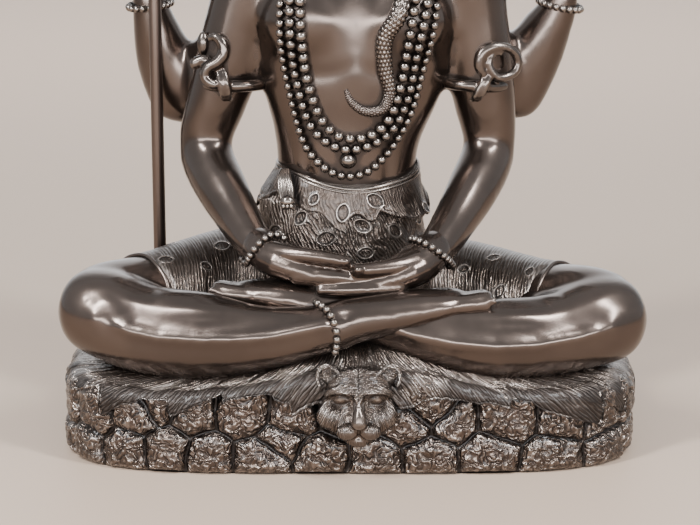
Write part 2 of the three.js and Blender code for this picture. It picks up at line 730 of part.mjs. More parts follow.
const headX = 2.6;
const chinZ = 107.5;
const crownZ = 144;
const headLength = crownZ - chinZ;

// A height on the head, as a share of chin to crown.
function headLevel(share) {
  return chinZ + headLength * share;
}

function head() {
  const small = { sides: 6, rings: 4 };
  const shapes = [
    blob([headX, 2, headLevel(0.62)], [12.2, 14.4, 14.2], { sides: 12, rings: 8 }),
    blob([headX, -3.6, headLevel(0.36)], [9.8, 9.8, 12.6], { sides: 10, rings: 7 }),
    blob([headX, -10.4, headLevel(0.07)], [4.2, 3.2, 3], small),
    limb([[headX, -11.6, headLevel(0.57), 1.5], [headX, -13.8, headLevel(0.45), 1.8],
      [headX, -14.8, headLevel(0.29), 2.4, 2.2]], { sides: 6, rings: 5, up: [0, -1, 0] }),
    limb([[headX - 4, -11.4, headLevel(0.2), 1.1], [headX, -13.2, headLevel(0.205), 1.3],
      [headX + 4, -11.4, headLevel(0.2), 1.1]], { sides: 5, rings: 5 }),
    limb([[headX - 3.4, -11, headLevel(0.16), 1.1], [headX, -12.6, headLevel(0.155), 1.5],
      [headX + 3.4, -11, headLevel(0.16), 1.1]], { sides: 5, rings: 5 }),
  ];
  for (const side of [-1, 1]) {
    shapes.push(
      blob([headX + side * 4.9, -10.9, headLevel(0.48)], [3.2, 2.1, 1.9], { sides: 6, rings: 5 }),
      limb([[headX + side * 1.8, -12.4, headLevel(0.545), 1.2], [headX + side * 5, -11.4, headLevel(0.58), 1.3],
        [headX + side * 8.8, -8, headLevel(0.55), 1]], { sides: 5, rings: 5 }),
      blob([headX + side * 5.6, -8.4, headLevel(0.3)], [4, 3.8, 4.4], { sides: 6, rings: 5 }),
      limb([[headX + side * 10.6, 2, headLevel(0.56), 2.6, 1.6], [headX + side * 12, 1.2, headLevel(0.42), 3, 1.7],
        [headX + side * 11.6, 0, headLevel(0.27), 2, 1.4]], { sides: 6, rings: 5, up: [1, 0, 0] }),
      new THREE.TorusGeometry(2.5 * unit, 0.9 * unit, 5, 8).rotateY(Math.PI / 2)
        .translate(...posed([headX + side * 12, 0.4, headLevel(0.205)])),
    );
  }
  return shapes;
}

// Hair: a cap drawn back in locks, a coiled topknot, and locks down the back.
function hair() {
  const cap = reshape(new THREE.SphereGeometry(1, 22, 7), (point) => {
    const lock = 1 + 0.03 * Math.cos(11 * Math.atan2(point.z, point.x));
    const drop = Math.max(0, point.z);
    point.set(point.x * 13.4 * lock, -point.z * 15.2 * lock, point.y * 12 + drop * 6.5);
    point.add(new THREE.Vector3(headX, 4, headLevel(0.74))).multiplyScalar(unit);
    point.z += seatHeight;
  });
  const shapes = [cap];
  const coils = [
    { rise: 0, ring: 7.2, tube: 3.2 },
    { rise: 4.8, ring: 5.6, tube: 3 },
    { rise: 9, ring: 3.6, tube: 2.6 },
  ];
  for (const { rise, ring, tube } of coils) {
    const coil = new THREE.TorusGeometry(ring * unit, tube * unit, 6, 11);
    coil.rotateX(0.12 + 0.1 * (ring - 6)).translate(...posed([headX, 4.4, crownZ - 0.5 + rise]));
    shapes.push(coil);
  }
  shapes.push(blob([headX, 4.4, crownZ + 4], [7.6, 7.6, 10.4], { sides: 8, rings: 6 }));
  const locks = 5;
  for (let i = 0; i < locks; i += 1) {
    const spread = (i - (locks - 1) / 2) / ((locks - 1) / 2);
    const hollow = spread * spread;
    const wave = i % 2 === 0 ? 1.2 : -1.2;
    shapes.push(limb([
      [headX + spread * 9.5, 12.5 - 5 * hollow, 131, 3.8],
      [headX + spread * 11.5 + wave, 14.6 - 5 * hollow, 116, 4],
      [headX + spread * 14.5 - wave, 15 - 3 * hollow, 101, 4],
      [headX + spread * 15.5 + wave, 16 - 3 * hollow, 88, 3.6],
      [headX + spread * 14, 15.4 - 2.4 * hollow, 78 + 8 * hollow, 2.4],
    ], { sides: 6, rings: 7, up: [0, -1, 0] }));
  }
  return shapes;
}

// Crescent on the topknot, a plain ornament.
function crescent() {
  const outer = 5 * unit;
  const shape = new THREE.Shape();
  shape.absarc(0, 0, outer, Math.PI * 1.12, Math.PI * 1.88, false);
  shape.absarc(0, outer * 0.42, outer * 0.86, Math.PI * 1.8, Math.PI * 1.2, true);
  const geometry = new THREE.ExtrudeGeometry(shape, { depth: 1.6 * unit, bevelEnabled: false, curveSegments: 5 });
  return geometry.rotateX(Math.PI / 2).rotateZ(-0.5).translate(...posed([headX - 5, -3.4, crownZ + 6]));
}

// Dress

// A hanging cloth wrapped round the body: rows run from the top hem to the lower, jagged one.
function wrap(sections, hemRule, columns = 24, foldDepth = 0.4) {
  const inner = 0.8;
  const rows = sections.length + 2;
  const first = sections[0];
  const last = sections[sections.length - 1];
  return reshape(new THREE.SphereGeometry(1, columns, rows), (point) => {
    const row = Math.round((Math.acos(THREE.MathUtils.clamp(point.y, -1, 1)) / Math.PI) * rows);
    const angle = Math.atan2(-point.z, point.x);
    const column = Math.round((angle / (2 * Math.PI)) * columns);
    const fold = column % 2 === 0 ? foldDepth : 0;
    if (row === 0 || row === rows) {
      const end = row === 0 ? first : last;
      point.copy(posed([end[0], end[1], row === 0 ? end[2] - 1 : end[2] + 4]));
      return;
    }
    const [cx, cy, z, wide, thick] = sections[Math.min(row, sections.length) - 1];
    const shrink = row === rows - 1 ? inner : 1;
    const drop = row >= sections.length ? hemRule(angle) : 0;
    point.copy(posed([
      cx + Math.cos(angle) * (wide + fold) * shrink,
      cy + Math.sin(angle) * (thick + fold) * shrink,
      z - drop + (row === rows - 1 ? 1.2 : 0),
    ]));
  });
}

function waistCloth() {
  const lower = wrap(
    [[-0.6, 0.6, 40.6, 16.8, 12.8], [-1, 0.8, 35, 19.6, 14.8], [-0.8, 2, 24, 20.6, 16.6], [-0.6, 5, 10, 24, 17]],
    () => 0,
  );
  const upper = wrap(
    [[-0.6, 0.6, 41.4, 17.6, 13.6], [-1, 0.8, 38, 19.6, 15], [-1, 0.9, 34, 20.9, 16]],
    (angle) => 1.8 * Math.sin(angle * 3 + 1) + 1.2 * Math.sin(angle * 7) + 1.6,
  );
  const rim = reshape(new THREE.TorusGeometry(1, 0.06, 4, 20), (point) => {
    const angle = Math.atan2(point.y, point.x);
    const out = Math.hypot(point.x, point.y) - 1;
    const frontDip = 2.6 * Math.max(0, -Math.sin(angle)) ** 3;
    point.copy(posed([
      -0.6 + Math.cos(angle) * (17.2 + out * 15),
      0.6 + Math.sin(angle) * (13.2 + out * 15),
      42 - frontDip + point.z * 15,
    ]));
  });
  const knot = [blob([-14.6, -12.4, 35.6], [2.2, 1.8, 2], { sides: 6, rings: 4 })];
  for (const [sway, length] of [[-2.6, 9], [-0.4, 11], [1.8, 8]]) {
    knot.push(limb([[-14.8, -12.6, 35, 1.2], [-14.8 + sway, -13.8, 30, 1.1], [-15 + sway * 1.6, -14.6, 35 - length, 0.7]],
      { sides: 5, rings: 4 }));
  }
  return [lower, upper, rim, ...knot];
}

// The cloth over a thigh: the thigh again, a little fuller, cut off short of the knee.
function thighCloth(thigh, hemX) {
  const fuller = thigh.slice(0, 4).map(([x, y, z, radius]) => [x, y + 0.6, z + 0.2, radius + 0.9]);
  const [last, knee] = [thigh[3], thigh[4]];
  const share = (hemX - last[0]) / (knee[0] - last[0]);
  fuller.push(last.map((value, i) => value + (knee[i] - value) * share + (i === 3 ? 0.9 : 0)));
  const length = Math.hypot(...[0, 1, 2].map((i) => fuller[4][i] - fuller[0][i]));
  return reshape(limb(fuller, { sides: 14, rings: 8 }), (point) => {
    const lock = Math.sin((point.x / length) * 40 + point.y * 0.8);
    point.z += 0.25 * lock;
  });
}

function seatCloth() {
  return [
    blob([0, 9, 13], [30, 16.5, 13.5], { sides: 14, rings: 7 }),
    thighCloth(nearThigh, -48.5),
    thighCloth(farThigh, 48.5),
  ];
}

// Ornaments

// A necklace hanging in front: points across the chest, closed behind the neck.
function necklace(front, diameter) {
  const proud = diameter * 0.42;
  const places = front.map(([x, z]) => posed([x, chestFront(x, z) - proud, z]));
  const behind = [[17.5, 2, 97.5], [10, 9.6, 101], [2.6, 11.4, 102.4], [-5, 9.6, 101], [-12.6, 2, 97.5]];
  const curve = new THREE.CatmullRomCurve3([...places, ...behind.map(posed)], true, 'centripetal');
  const frontLength = new THREE.CatmullRomCurve3(places, false, 'centripetal').getLength();
  return beadRing(curve, diameter * unit, [0, -1, 0], frontLength / curve.getLength());
}

const innerStrand = [[-11.4, 84], [-10.9, 73], [-9.8, 64], [-6.4, 54.5], [-3, 51.2], [0.2, 50.4], [4.4, 50.9],
  [8.4, 54], [11.4, 62], [13, 71], [15, 84]];
const middleStrand = [[-13.4, 84], [-13.4, 74], [-12, 63], [-8.6, 52.6], [-3.6, 48.6], [0.2, 47.9], [4.6, 48.8],
  [9.4, 52], [13, 59], [15, 69], [17.6, 83]];
const outerStrand = [[-15.6, 83], [-15.4, 70], [-13.4, 59], [-9.8, 47.6], [-4.4, 42.6], [0, 41.6], [4, 42.6],
  [8.6, 46.6], [13.4, 54.6], [16.4, 65], [19.6, 81]];

function necklaces() {
  return [
    necklace(innerStrand, innerBead),
    necklace(middleStrand, middleBead),
    necklace(outerStrand, outerBead),
    bead(posed([-0.4, chestFront(-0.4, 45) - 1, 45]), 3.6 * unit, 6),
  ];
}

// The snake: round the neck and down the chest to the tip of its tail.
function snake() {
  const onChest = [[13.5, 88], [11, 79], [7.6, 73.6], [7.6, 67], [8.8, 60.5], [7.4, 57], [3.6, 56.4], [0.4, 58.6],
    [-1, 61.4]];
  const sizes = [2, 2, 1.9, 1.7, 1.4, 1.2, 1, 0.75, 0.45];
  const tail = onChest.map(([x, z], i) => [x, chestFront(x, z) - sizes[i] * 0.5, z, sizes[i]]);
  const round = [[-11, -7, 97, 2.2], [-7.8, 3, 104, 2.2], [0, 11, 107, 2.1], [9, 8, 105.5, 2.1], [14.6, 0, 99.5, 2],
    [15.4, -7, 95, 2]];
  const hood = blob([-11.6, -7.8, 97.6], [3.8, 2.3, 4.6], { sides: 6, rings: 5, tilt: [0.4, 0, 0] });
  const face = blob([-11.6, -10.2, 99.8], [1.8, 2.8, 1.6], { sides: 6, rings: 4 });
  return [limb([...round, ...tail], { sides: 6, rings: 26, up: [0.2, -1, 0.2] }), hood, face];
}

function armlets() {
  const shapes = [];
  for (const [x, turn, side] of [[-27.6, -0.3, -1], [29.9, 0.12, 1]]) {
    const ring = new THREE.TorusGeometry(8 * unit, 1.1 * unit, 5, 12);
    shapes.push(ring.rotateY(turn).translate(...posed([x, 2.6, 61.4])));
    shapes.push(limb([[x + side * 1, -6, 59, 1], [x + side * 2.4, -6.4, 64, 1.2], [x + side * 5.6, -5.4, 67.4, 1.3],
      [x + side * 3.2, -6, 71.4, 1.2], [x + side * 6, -4.4, 74.6, 1]], { sides: 5, rings: 6 }));
    shapes.push(new THREE.TorusGeometry(2.9 * unit, 1.1 * unit, 4, 8).rotateX(Math.PI / 2)
      .translate(...posed([x + side * 5, -4.4, 66.6])));
  }
  return shapes;
}

// A bracelet of beads round a wrist, square to the limb.
function bracelet(centre, direction, radius) {
  const axis = new THREE.Vector3(...direction).normalize();
  const across = new THREE.Vector3().crossVectors(axis, new THREE.Vector3(0, 1, 0)).normalize();
  const over = new THREE.Vector3().crossVectors(axis, across);
  const middle = posed(centre);
  const places = [];
  for (let i = 0; i < 12; i += 1) {
    const angle = (i / 12) * 2 * Math.PI;
    places.push(middle.clone().addScaledVector(across, Math.cos(angle) * radius * unit)
      .addScaledVector(over, Math.sin(angle) * radius * unit));
  }
  return beadRing(new THREE.CatmullRomCurve3(places, true), braceletBead * unit, direction);
}

function bracelets() {
  return [
    bracelet([-19.6, -22, 26], [0.45, -0.8, -0.45], 4.9),
    bracelet([18.2, -22, 25.4], [-0.45, -0.8, -0.5], 4.9),
    bracelet([-3.6, -37.4, 13.8], [1, 0, 0.1], 5.9),
    bracelet(leftWrist, [-0.1, -0.1, 1], 5),
    bracelet(rightWrist, [0.2, -0.1, 1], 5),
  ];
}

// Trident

const rodFoot = seatHeight - socketDepth;
const rodSides = 16;

function rodOutline(radius, bottom, top) {
  return new THREE.LatheGeometry([
    new THREE.Vector2(0, bottom),
    new THREE.Vector2(radius, bottom),
    new THREE.Vector2(radius, top),
    new THREE.Vector2(0, top),
  ], rodSides).rotateX(Math.PI / 2).translate(rodX, rodY, 0);
}

function trident() {
  const tip = rodFoot + tridentHeight;
  const fork = tip - prongLength;
  const half = tridentWidth / 2;
  const shapes = [rodOutline(rodRadius, rodFoot, fork + prongThickness)];
  const spear = new THREE.Shape();
  spear.moveTo(-prongThickness / 2, -prongThickness);
  spear.lineTo(prongThickness / 2, -prongThickness);
  spear.lineTo(prongThickness / 2, prongLength * 0.45);
  spear.lineTo(prongThickness * 1.15, prongLength * 0.55);
  spear.quadraticCurveTo(prongThickness * 0.7, prongLength * 0.85, 0, prongLength);
  spear.quadraticCurveTo(-prongThickness * 0.7, prongLength * 0.85, -prongThickness * 1.15, prongLength * 0.55);
  spear.lineTo(-prongThickness / 2, prongLength * 0.45);
  const horn = new THREE.Shape();
  horn.moveTo(0, -prongThickness * 0.6);
  horn.quadraticCurveTo(half, 0, half * 0.98, prongLength * 0.5);
  horn.quadraticCurveTo(half * 1.02, prongLength * 0.66, half * 0.78, prongLength * 0.8);
  horn.quadraticCurveTo(half * 0.74, prongLength * 0.2, 0, prongThickness * 0.7);
  const flat = { depth: prongThickness, bevelEnabled: false, curveSegments: 6 };
  for (const side of [0, -1, 1]) {
    const prong = new THREE.ExtrudeGeometry(side === 0 ? spear : horn, flat);
    prong.translate(0, 0, -prongThickness / 2).rotateX(Math.PI / 2);
    if (side < 0) prong.rotateZ(Math.PI);
    shapes.push(prong.translate(rodX, rodY, fork));
  }
  const collar = new THREE.LatheGeometry([
    new THREE.Vector2(0, -4),
    new THREE.Vector2(rodRadius * 1.3, -4),
    new THREE.Vector2(rodRadius * 1.9, -2.5),
    new THREE.Vector2(rodRadius * 1.3, -1),
    new THREE.Vector2(rodRadius * 1.7, 0.5),
    new THREE.Vector2(0, 1.5),
  ], 12).rotateX(Math.PI / 2).translate(rodX, rodY, fork);
  shapes.push(collar);
  return geometryOf(Manifold.union(shapes.map(solid)));
}

// Assembly

function figure() {
  const shapes = [
    base(),
    ...animalHead(),
    ...legs(),
    ...feet(),
    ...seatCloth(),
    ...waistCloth(),
    ...torso(),
    ...frontArms(),
    ...lapHands(),
    ...rearArms(),
    ...rearHands(),
    ...head(),
    ...hair(),
    crescent(),
    ...necklaces(),
    ...snake(),
    ...armlets(),
    ...bracelets(),
  ];
  const whole = thinned(geometryOf(Manifold.union(shapes.map(solid))), mostFigureFaces);
  const channel = rodOutline(rodRadius + rodClearance, rodFoot - rodClearance, rodFoot + tridentHeight);
  return geometryOf(solid(whole).subtract(solid(channel)));
}

const bronze = new THREE.MeshStandardMaterial({ color: 0x6b5344, roughness: 0.38, metalness: 0.85 });
const darkBronze = new THREE.MeshStandardMaterial({ color: 0x3b2a22, roughness: 0.4, metalness: 0.8 });

const group = new THREE.Group();
group.add(meshOf(figure(), 'shiva_figure', bronze));
group.add(meshOf(trident(), 'trident', darkBronze));

export default group;
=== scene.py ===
# A seated four-armed figurine with a loose trident: the fine carving and the finish.
# Shapes are worked out in millimetres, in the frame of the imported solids, and written in metres.
import math
import random

import bmesh
import bpy
import numpy as np
from mathutils import Euler, Matrix, Vector
from mathutils.bvhtree import BVHTree


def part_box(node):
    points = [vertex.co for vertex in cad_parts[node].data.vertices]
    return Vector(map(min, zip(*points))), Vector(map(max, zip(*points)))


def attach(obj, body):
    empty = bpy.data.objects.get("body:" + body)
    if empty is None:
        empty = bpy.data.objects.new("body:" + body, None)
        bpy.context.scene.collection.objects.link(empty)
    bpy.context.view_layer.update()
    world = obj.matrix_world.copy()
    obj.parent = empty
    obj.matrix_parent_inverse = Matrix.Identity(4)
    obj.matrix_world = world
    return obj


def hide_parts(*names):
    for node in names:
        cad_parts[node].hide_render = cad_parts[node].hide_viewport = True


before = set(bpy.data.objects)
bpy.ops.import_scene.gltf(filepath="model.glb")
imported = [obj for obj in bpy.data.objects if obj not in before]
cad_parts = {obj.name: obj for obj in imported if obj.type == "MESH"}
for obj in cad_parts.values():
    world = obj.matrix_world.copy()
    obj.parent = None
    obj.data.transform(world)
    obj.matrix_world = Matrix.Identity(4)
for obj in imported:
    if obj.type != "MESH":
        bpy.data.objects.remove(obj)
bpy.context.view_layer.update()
figureNode, tridentNode = "shiva_figure", "trident"
rodLow, rodHigh = (np.array(corner) * 1000 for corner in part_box(tridentNode))

seat = 20.0  # level of the skin that the figure sits on
camera = {"place": (0.0, -459.3, 140.5), "down": 12.5, "lens": 101.5, "sensor": 36, "frame": (700, 525)}
pieces = []
toFront = (0, -1, 0)
onGround = dict(lift=0)  # for places given above the ground, not above the seat


# Shared tools

def pieceOf(name, bm):
    bmesh.ops.recalc_face_normals(bm, faces=bm.faces[:])
    mesh = bpy.data.meshes.new(name)
    bm.to_mesh(mesh)
    bm.free()
    mesh.shade_smooth()
    piece = bpy.data.objects.new(name, mesh)
    bpy.context.scene.collection.objects.link(piece)
    return piece


# Gives a piece the mesh that its modifiers make.
def applied(piece):
    shown = piece.evaluated_get(bpy.context.evaluated_depsgraph_get())
    mesh = bpy.data.meshes.new_from_object(shown)
    old = piece.data
    piece.modifiers.clear()
    piece.data = mesh
    bpy.data.meshes.remove(old)
    mesh.shade_smooth()
    return piece


def pointsOf(mesh):
    points = np.empty(len(mesh.vertices) * 3, np.float32)
    mesh.vertices.foreach_get("co", points)
    return points.reshape(-1, 3).astype(float)


def normalsOf(mesh):
    normals = np.empty(len(mesh.vertices) * 3, np.float32)
    mesh.vertex_normals.foreach_get("vector", normals)
    return normals.reshape(-1, 3).astype(float)


def edgesOf(mesh):
    edges = np.empty(len(mesh.edges) * 2, np.int32)
    mesh.edges.foreach_get("vertices", edges)
    return edges.reshape(-1, 2)


def setPoints(mesh, points):
    mesh.vertices.foreach_set("co", points.astype(np.float32).ravel())
    mesh.update()


def relaxed(points, edges, steps, keepSize=True):
    count = np.maximum(np.bincount(edges.ravel(), minlength=len(points)), 1)[:, None]
    first, second = edges[:, 0], edges[:, 1]
    for step in range(steps):
        for pull in (0.5, -0.52) if keepSize else (0.5,):
            total = np.column_stack([
                np.bincount(first, points[second, axis], len(points))
                + np.bincount(second, points[first, axis], len(points))
                for axis in range(points.shape[1])
            ])
            points = points + pull * (total / count - points)
    return points


def soften(piece, steps, keepSize=True):
    mesh = piece.data
    setPoints(mesh, relaxed(pointsOf(mesh), edgesOf(mesh), steps, keepSize))


def bevelled(piece, width):
    bevel = piece.modifiers.new("bevel", "BEVEL")
    bevel.width, bevel.segments, bevel.limit_method = width, 2, "ANGLE"
    return applied(piece)


def voxels(piece, size):
    remesh = piece.modifiers.new("voxels", "REMESH")
    remesh.mode = "VOXEL"
    remesh.voxel_size = size
    return applied(piece)


# Joins overlapping shapes into one skin. With a blend, the joins are first rounded on a coarser skin.
def fused(name, bm, size, steps, blend=0, blendSize=1.0):
    piece = pieceOf(name, bm)
    if blend:
        voxels(piece, blendSize)
        soften(piece, blend, keepSize=False)
        finer = piece.modifiers.new("finer", "SUBSURF")
        finer.levels = finer.render_levels = 1
        applied(piece)
    voxels(piece, size)
    soften(piece, steps)
    return piece


# A finished shape as a bmesh again, for finer forms to be fused on.
def reopened(shape):
    bm = bmesh.new()
    bm.from_mesh(shape.data)
    bpy.data.objects.remove(shape)
    return bm


# Moves each point along its normal by what a rule gives for it.
def carve(piece, rule):
    mesh = piece.data
    points, normals = pointsOf(mesh), normalsOf(mesh)
    setPoints(mesh, points + normals * rule(points, normals)[:, None])
    return piece


def smoothstep(low, high, value):
    share = np.clip((value - low) / (high - low), 0, 1)
    return share * share * (3 - 2 * share)


def bell(distance, width):
    return np.exp(-((distance / width) ** 2))


# Smooth noise from -1 to 1 at points of two or three columns.
def noiseAt(points, seed):
    if points.shape[1] == 2:
        points = np.column_stack([points, np.full(len(points), 0.37)])
    cell = np.floor(points).astype(np.int64)
    part = points - cell
    part = part * part * (3 - 2 * part)
    result = np.zeros(len(points))
    for corner in range(8):
        offset = np.array([corner & 1, (corner >> 1) & 1, corner >> 2])
        x, y, z = (cell + offset).T
        mixed = (x * 374761393 + y * 668265263 + z * 2147483647 + seed * 1274126177) & 0x7FFFFFFF
        mixed = ((mixed ^ (mixed >> 13)) * 1103515245 + 12345) & 0x7FFFFFFF
        value = (mixed >> 8) / 4194303.5 - 1
        weight = np.prod(np.where(offset, part, 1 - part), axis=1)
        result += weight * value
    return result


# Points of a centripetal curve through stations, at shares of its length from 0 to 1.
def curveAt(stations, share, closed=False):
    stations = np.asarray(stations, float)
    count = len(stations)
    spans = count if closed else count - 1
    place = np.clip(share, 0, 1) * spans
    index = np.minimum(place.astype(int), spans - 1)
    part = (place - index)[:, None]

    def station(number):
        if closed:
            return stations[number % count]
        inner = stations[np.clip(number, 0, count - 1)]
        inner[number < 0] = 2 * stations[0] - stations[1]
        inner[number >= count] = 2 * stations[-1] - stations[-2]
        return inner

    p0, p1, p2, p3 = (station(index + step) for step in (-1, 0, 1, 2))
    gaps = [np.maximum(np.linalg.norm((b - a)[:, :3], axis=1, keepdims=True), 1e-6) ** 0.5
            for a, b in ((p0, p1), (p1, p2), (p2, p3))]
    g0, g1, g2 = gaps
    m1 = ((p1 - p0) / g0 - (p2 - p0) / (g0 + g1) + (p2 - p1) / g1) * g1
    m2 = ((p2 - p1) / g1 - (p3 - p1) / (g1 + g2) + (p3 - p2) / g2) * g1
    cubic = 2 * p1 - 2 * p2 + m1 + m2
    square = -3 * p1 + 3 * p2 - 2 * m1 - m2
    return ((cubic * part + square) * part + m1) * part + p1


def curveLength(stations):
    points = curveAt(stations, np.linspace(0, 1, 400))[:, :3]
    return np.linalg.norm(np.diff(points, axis=0), axis=1).sum()


# Points at even distances round a closed curve.
def evenPoints(stations, pitch):
    points = curveAt(stations, np.linspace(0, 1, 1200), closed=True)
    run = np.concatenate([[0], np.cumsum(np.linalg.norm(np.diff(points, axis=0), axis=1))])
    count = max(2, round(run[-1] / pitch))
    stops = np.linspace(0, run[-1], count + 1)[:-1]
    return np.column_stack([np.interp(stops, run, points[:, axis]) for axis in range(3)])


def unitRows(rows):
    return rows / np.maximum(np.linalg.norm(rows, axis=1, keepdims=True), 1e-9)


# The angles of a full turn in even steps.
def turnSteps(count):
    return [step / count * 2 * math.pi for step in range(count)]


# A closed ball made from a rolled-up grid. Large ones are far quicker than a UV sphere.
def closedGrid(columns, rows):
    bm = bmesh.new()
    verts = bmesh.ops.create_grid(bm, x_segments=columns, y_segments=rows, size=0.5)["verts"]
    ends = []
    for vert in verts:
        turn, fall = (vert.co.x + 0.5) * 2 * math.pi, (0.5 - vert.co.y) * math.pi
        if min(turn, fall) < 1e-4 or turn > 2 * math.pi - 1e-4 or fall > math.pi - 1e-4:
            ends.append(vert)
        vert.co = (math.sin(fall) * math.cos(turn), math.sin(fall) * math.sin(turn), math.cos(fall))
    bmesh.ops.remove_doubles(bm, verts=ends, dist=1e-5)
    unit = np.array([vert.co for vert in bm.verts])
    return bm, unit


def join(bm, part):
    mesh = bpy.data.meshes.new("part")
    part.to_mesh(mesh)
    part.free()
    bm.from_mesh(mesh)
    bpy.data.meshes.remove(mesh)


def addTo(bm, part, places):
    for vert, place in zip(part.verts, places.tolist()):
        vert.co = place
    join(bm, part)


# A flat plate with an outline of places across and up, standing around an origin.
def addPlate(bm, outline, origin, thick):
    x, y, z = origin
    face = bm.faces.new([bm.verts.new((x + across, y - thick / 2, z + up)) for across, up in outline])
    grown = bmesh.ops.extrude_face_region(bm, geom=[face])["geom"]
    farSide = [item for item in grown if isinstance(item, bmesh.types.BMVert)]
    bmesh.ops.translate(bm, verts=farSide, vec=(0, thick, 0))


# A rounded limb through stations of x, y, height above the seat, half width and half thickness.
# The width lies across "up". A carving rule may change the radius by share and turn.
def limb(bm, stations, sides=20, rings=20, up=(0, 0, 1), lift=seat, carving=None, endCap=None):
    full = np.array([tuple(s[:4]) + (s[4] if len(s) > 4 else s[3],) for s in stations], float)
    full[:, 2] += lift
    part, unit = closedGrid(sides, rings)
    height = np.clip(unit[:, 2], -1, 1)
    along = (1 + height) / 2
    turn = np.arctan2(unit[:, 1], unit[:, 0])
    length = curveLength(full)
    here = curveAt(full, along)
    step = 0.002
    tangent = unitRows((curveAt(full, along + step) - curveAt(full, along - step))[:, :3])
    side = unitRows(np.cross(np.array(up, float), tangent))
    top = np.cross(tangent, side)
    startCap = min(0.5, full[0, 3] / length)
    endCap = min(0.5, (endCap or full[-1, 3]) / length)
    fromEnd = np.minimum(1, np.minimum(along / startCap, (1 - along) / endCap))
    rounding = np.sqrt(np.maximum(0, 1 - (1 - fromEnd) ** 2))
    if carving is not None:
        rounding = rounding * carving(along, turn)
    addTo(bm, part, here[:, :3] + side * (np.cos(turn) * here[:, 3] * rounding)[:, None]
          + top * (np.sin(turn) * here[:, 4] * rounding)[:, None])


def blob(bm, centre, radii, sides=24, rings=14, tilt=(0, 0, 0), lift=seat):
    part, unit = closedGrid(sides, rings)
    turned = np.array(Euler(tilt).to_matrix())
    middle = np.array((centre[0], centre[1], centre[2] + lift))
    addTo(bm, part, (unit * np.array(radii)) @ turned.T + middle)


def treeOf(piece):
    mesh = piece.data
    return BVHTree.FromPolygons([vert.co for vert in mesh.vertices],
                                [face.vertices for face in mesh.polygons])


focalPixels = camera["lens"] / camera["sensor"] * camera["frame"][0]
frameMiddle = [side / 2 for side in camera["frame"]]


# The front of a surface at a place across and a height above the ground.
def frontAt(tree, x, z, fallback):
    hit = tree.ray_cast(Vector((x, -90, z)), Vector((0, 1, 0)))[0]
    return hit.y if hit else fallback


# Where the photograph's ray through a pixel meets a surface.
def underPixel(tree, pixel):
    across = (pixel[0] - frameMiddle[0]) / focalPixels
    up = (frameMiddle[1] - pixel[1]) / focalPixels
    pitch = math.radians(camera["down"])
    ray = Vector((across, math.cos(pitch) + up * math.sin(pitch), up * math.cos(pitch) - math.sin(pitch)))
    return tree.ray_cast(Vector(camera["place"]), ray.normalized())[0]


# The photograph's pixels at which points are seen.
def pixelsOf(points):
    pitch = math.radians(camera["down"])
    gap = points - np.array(camera["place"])
    ahead = gap[:, 1] * math.cos(pitch) - gap[:, 2] * math.sin(pitch)
    over = gap[:, 1] * math.sin(pitch) + gap[:, 2] * math.cos(pitch)
    return np.column_stack([frameMiddle[0] + focalPixels * gap[:, 0] / ahead,
                            frameMiddle[1] - focalPixels * over / ahead])


# How far pixels lie from a line that runs to the right: positive above it.
def fromLine(pixels, marks):
    marks = np.array(marks, float)
    nearest, signed = np.full(len(pixels), 1e9), np.zeros(len(pixels))
    for first, second in zip(marks, marks[1:]):
        run = second - first
        part = np.clip(((pixels - first) @ run) / (run @ run), 0, 1)
        gap = pixels - first - part[:, None] * run
        away = np.hypot(gap[:, 0], gap[:, 1])
        closer = away < nearest
        signed = np.where(closer, np.where(run[1] * gap[:, 0] > run[0] * gap[:, 1], away, -away), signed)
        nearest = np.minimum(nearest, away)
    return signed


def fromSpot(pixels, spot):
    x, y, wide, high = spot
    return np.hypot((pixels[:, 0] - x) / wide, (pixels[:, 1] - y) / high)


def keep(piece, material, node=figureNode):
    pieces.append((piece, material, node))
    return piece


# Body

body = {
    "torso": [
        (-0.8, 1.8, 26, 19.4, 14.3), (-0.8, 1.2, 34, 18.4, 13.6), (-0.8, 0.6, 42, 16.6, 12.3),
        (-0.6, 0.5, 49, 17.2, 12.3), (0.2, 0.5, 60, 21, 13.3), (1, 0.8, 70, 23, 14),
        (1.6, 1.2, 79, 23.5, 13.5), (2.2, 2, 88, 21.5, 12), (2.4, 2.6, 95, 15.5, 9.6),
        (2.5, 2.8, 101, 8, 7.5),
    ],
    "bellyAndChest": [((-9, -6.4, 76.5), (11.6, 8, 10)), ((11.4, -6.4, 76.5), (11.6, 8, 10)),
                      ((-0.7, -4.2, 49), (11.5, 8.2, 11))],
    "neck": [(2.5, 3.4, 86, 8.4), (2.6, 2.8, 97, 7.6), (2.6, 1.6, 113, 7.2)],
    "voxel": 0.7,
    "sternum": (-0.5, 1.7),  # depth and width of the carved lines
    "chestEdge": (-0.35, 2),
    "belly": (-0.5, 1.5),
    "collar": (0.8, 1.5),
}
leftUpperArm = [(-12, 3, 91, 7.4), (-20.6, 2.8, 88, 9.2), (-25.6, 2.2, 77, 8), (-30.4, 2.8, 60, 7.5),
                (-34.3, 4, 48.5, 6.4), (-35.4, 4.6, 41.5, 5)]
rightUpperArm = [(17, 3, 91, 7.4), (25.6, 2.8, 88, 9.2), (29.2, 2.2, 77, 7.8), (31.2, 2.8, 60, 7.7),
                 (33.2, 4, 48.5, 6.4), (33.8, 4.6, 41.5, 5)]
leftForearm = [(-36, 7.5, 46, 5), (-34.4, 3.6, 44, 6.3), (-30.6, -4, 38.4, 6.4), (-25.4, -13, 31.6, 5.4),
               (-20.4, -22, 26.6, 4.5), (-15.4, -28, 24.6, 3.6)]
rightForearm = [(34.6, 7.5, 46, 5), (33, 3.6, 44, 6.3), (29.4, -4, 38.4, 6.4), (24, -13, 31.2, 5.4),
                (18.8, -22, 25.8, 4.5), (13.6, -28, 23.6, 3.6)]
leftWrist, rightWrist = (-47.9, 15.6, 78.5), (50.2, 15.6, 78.5)
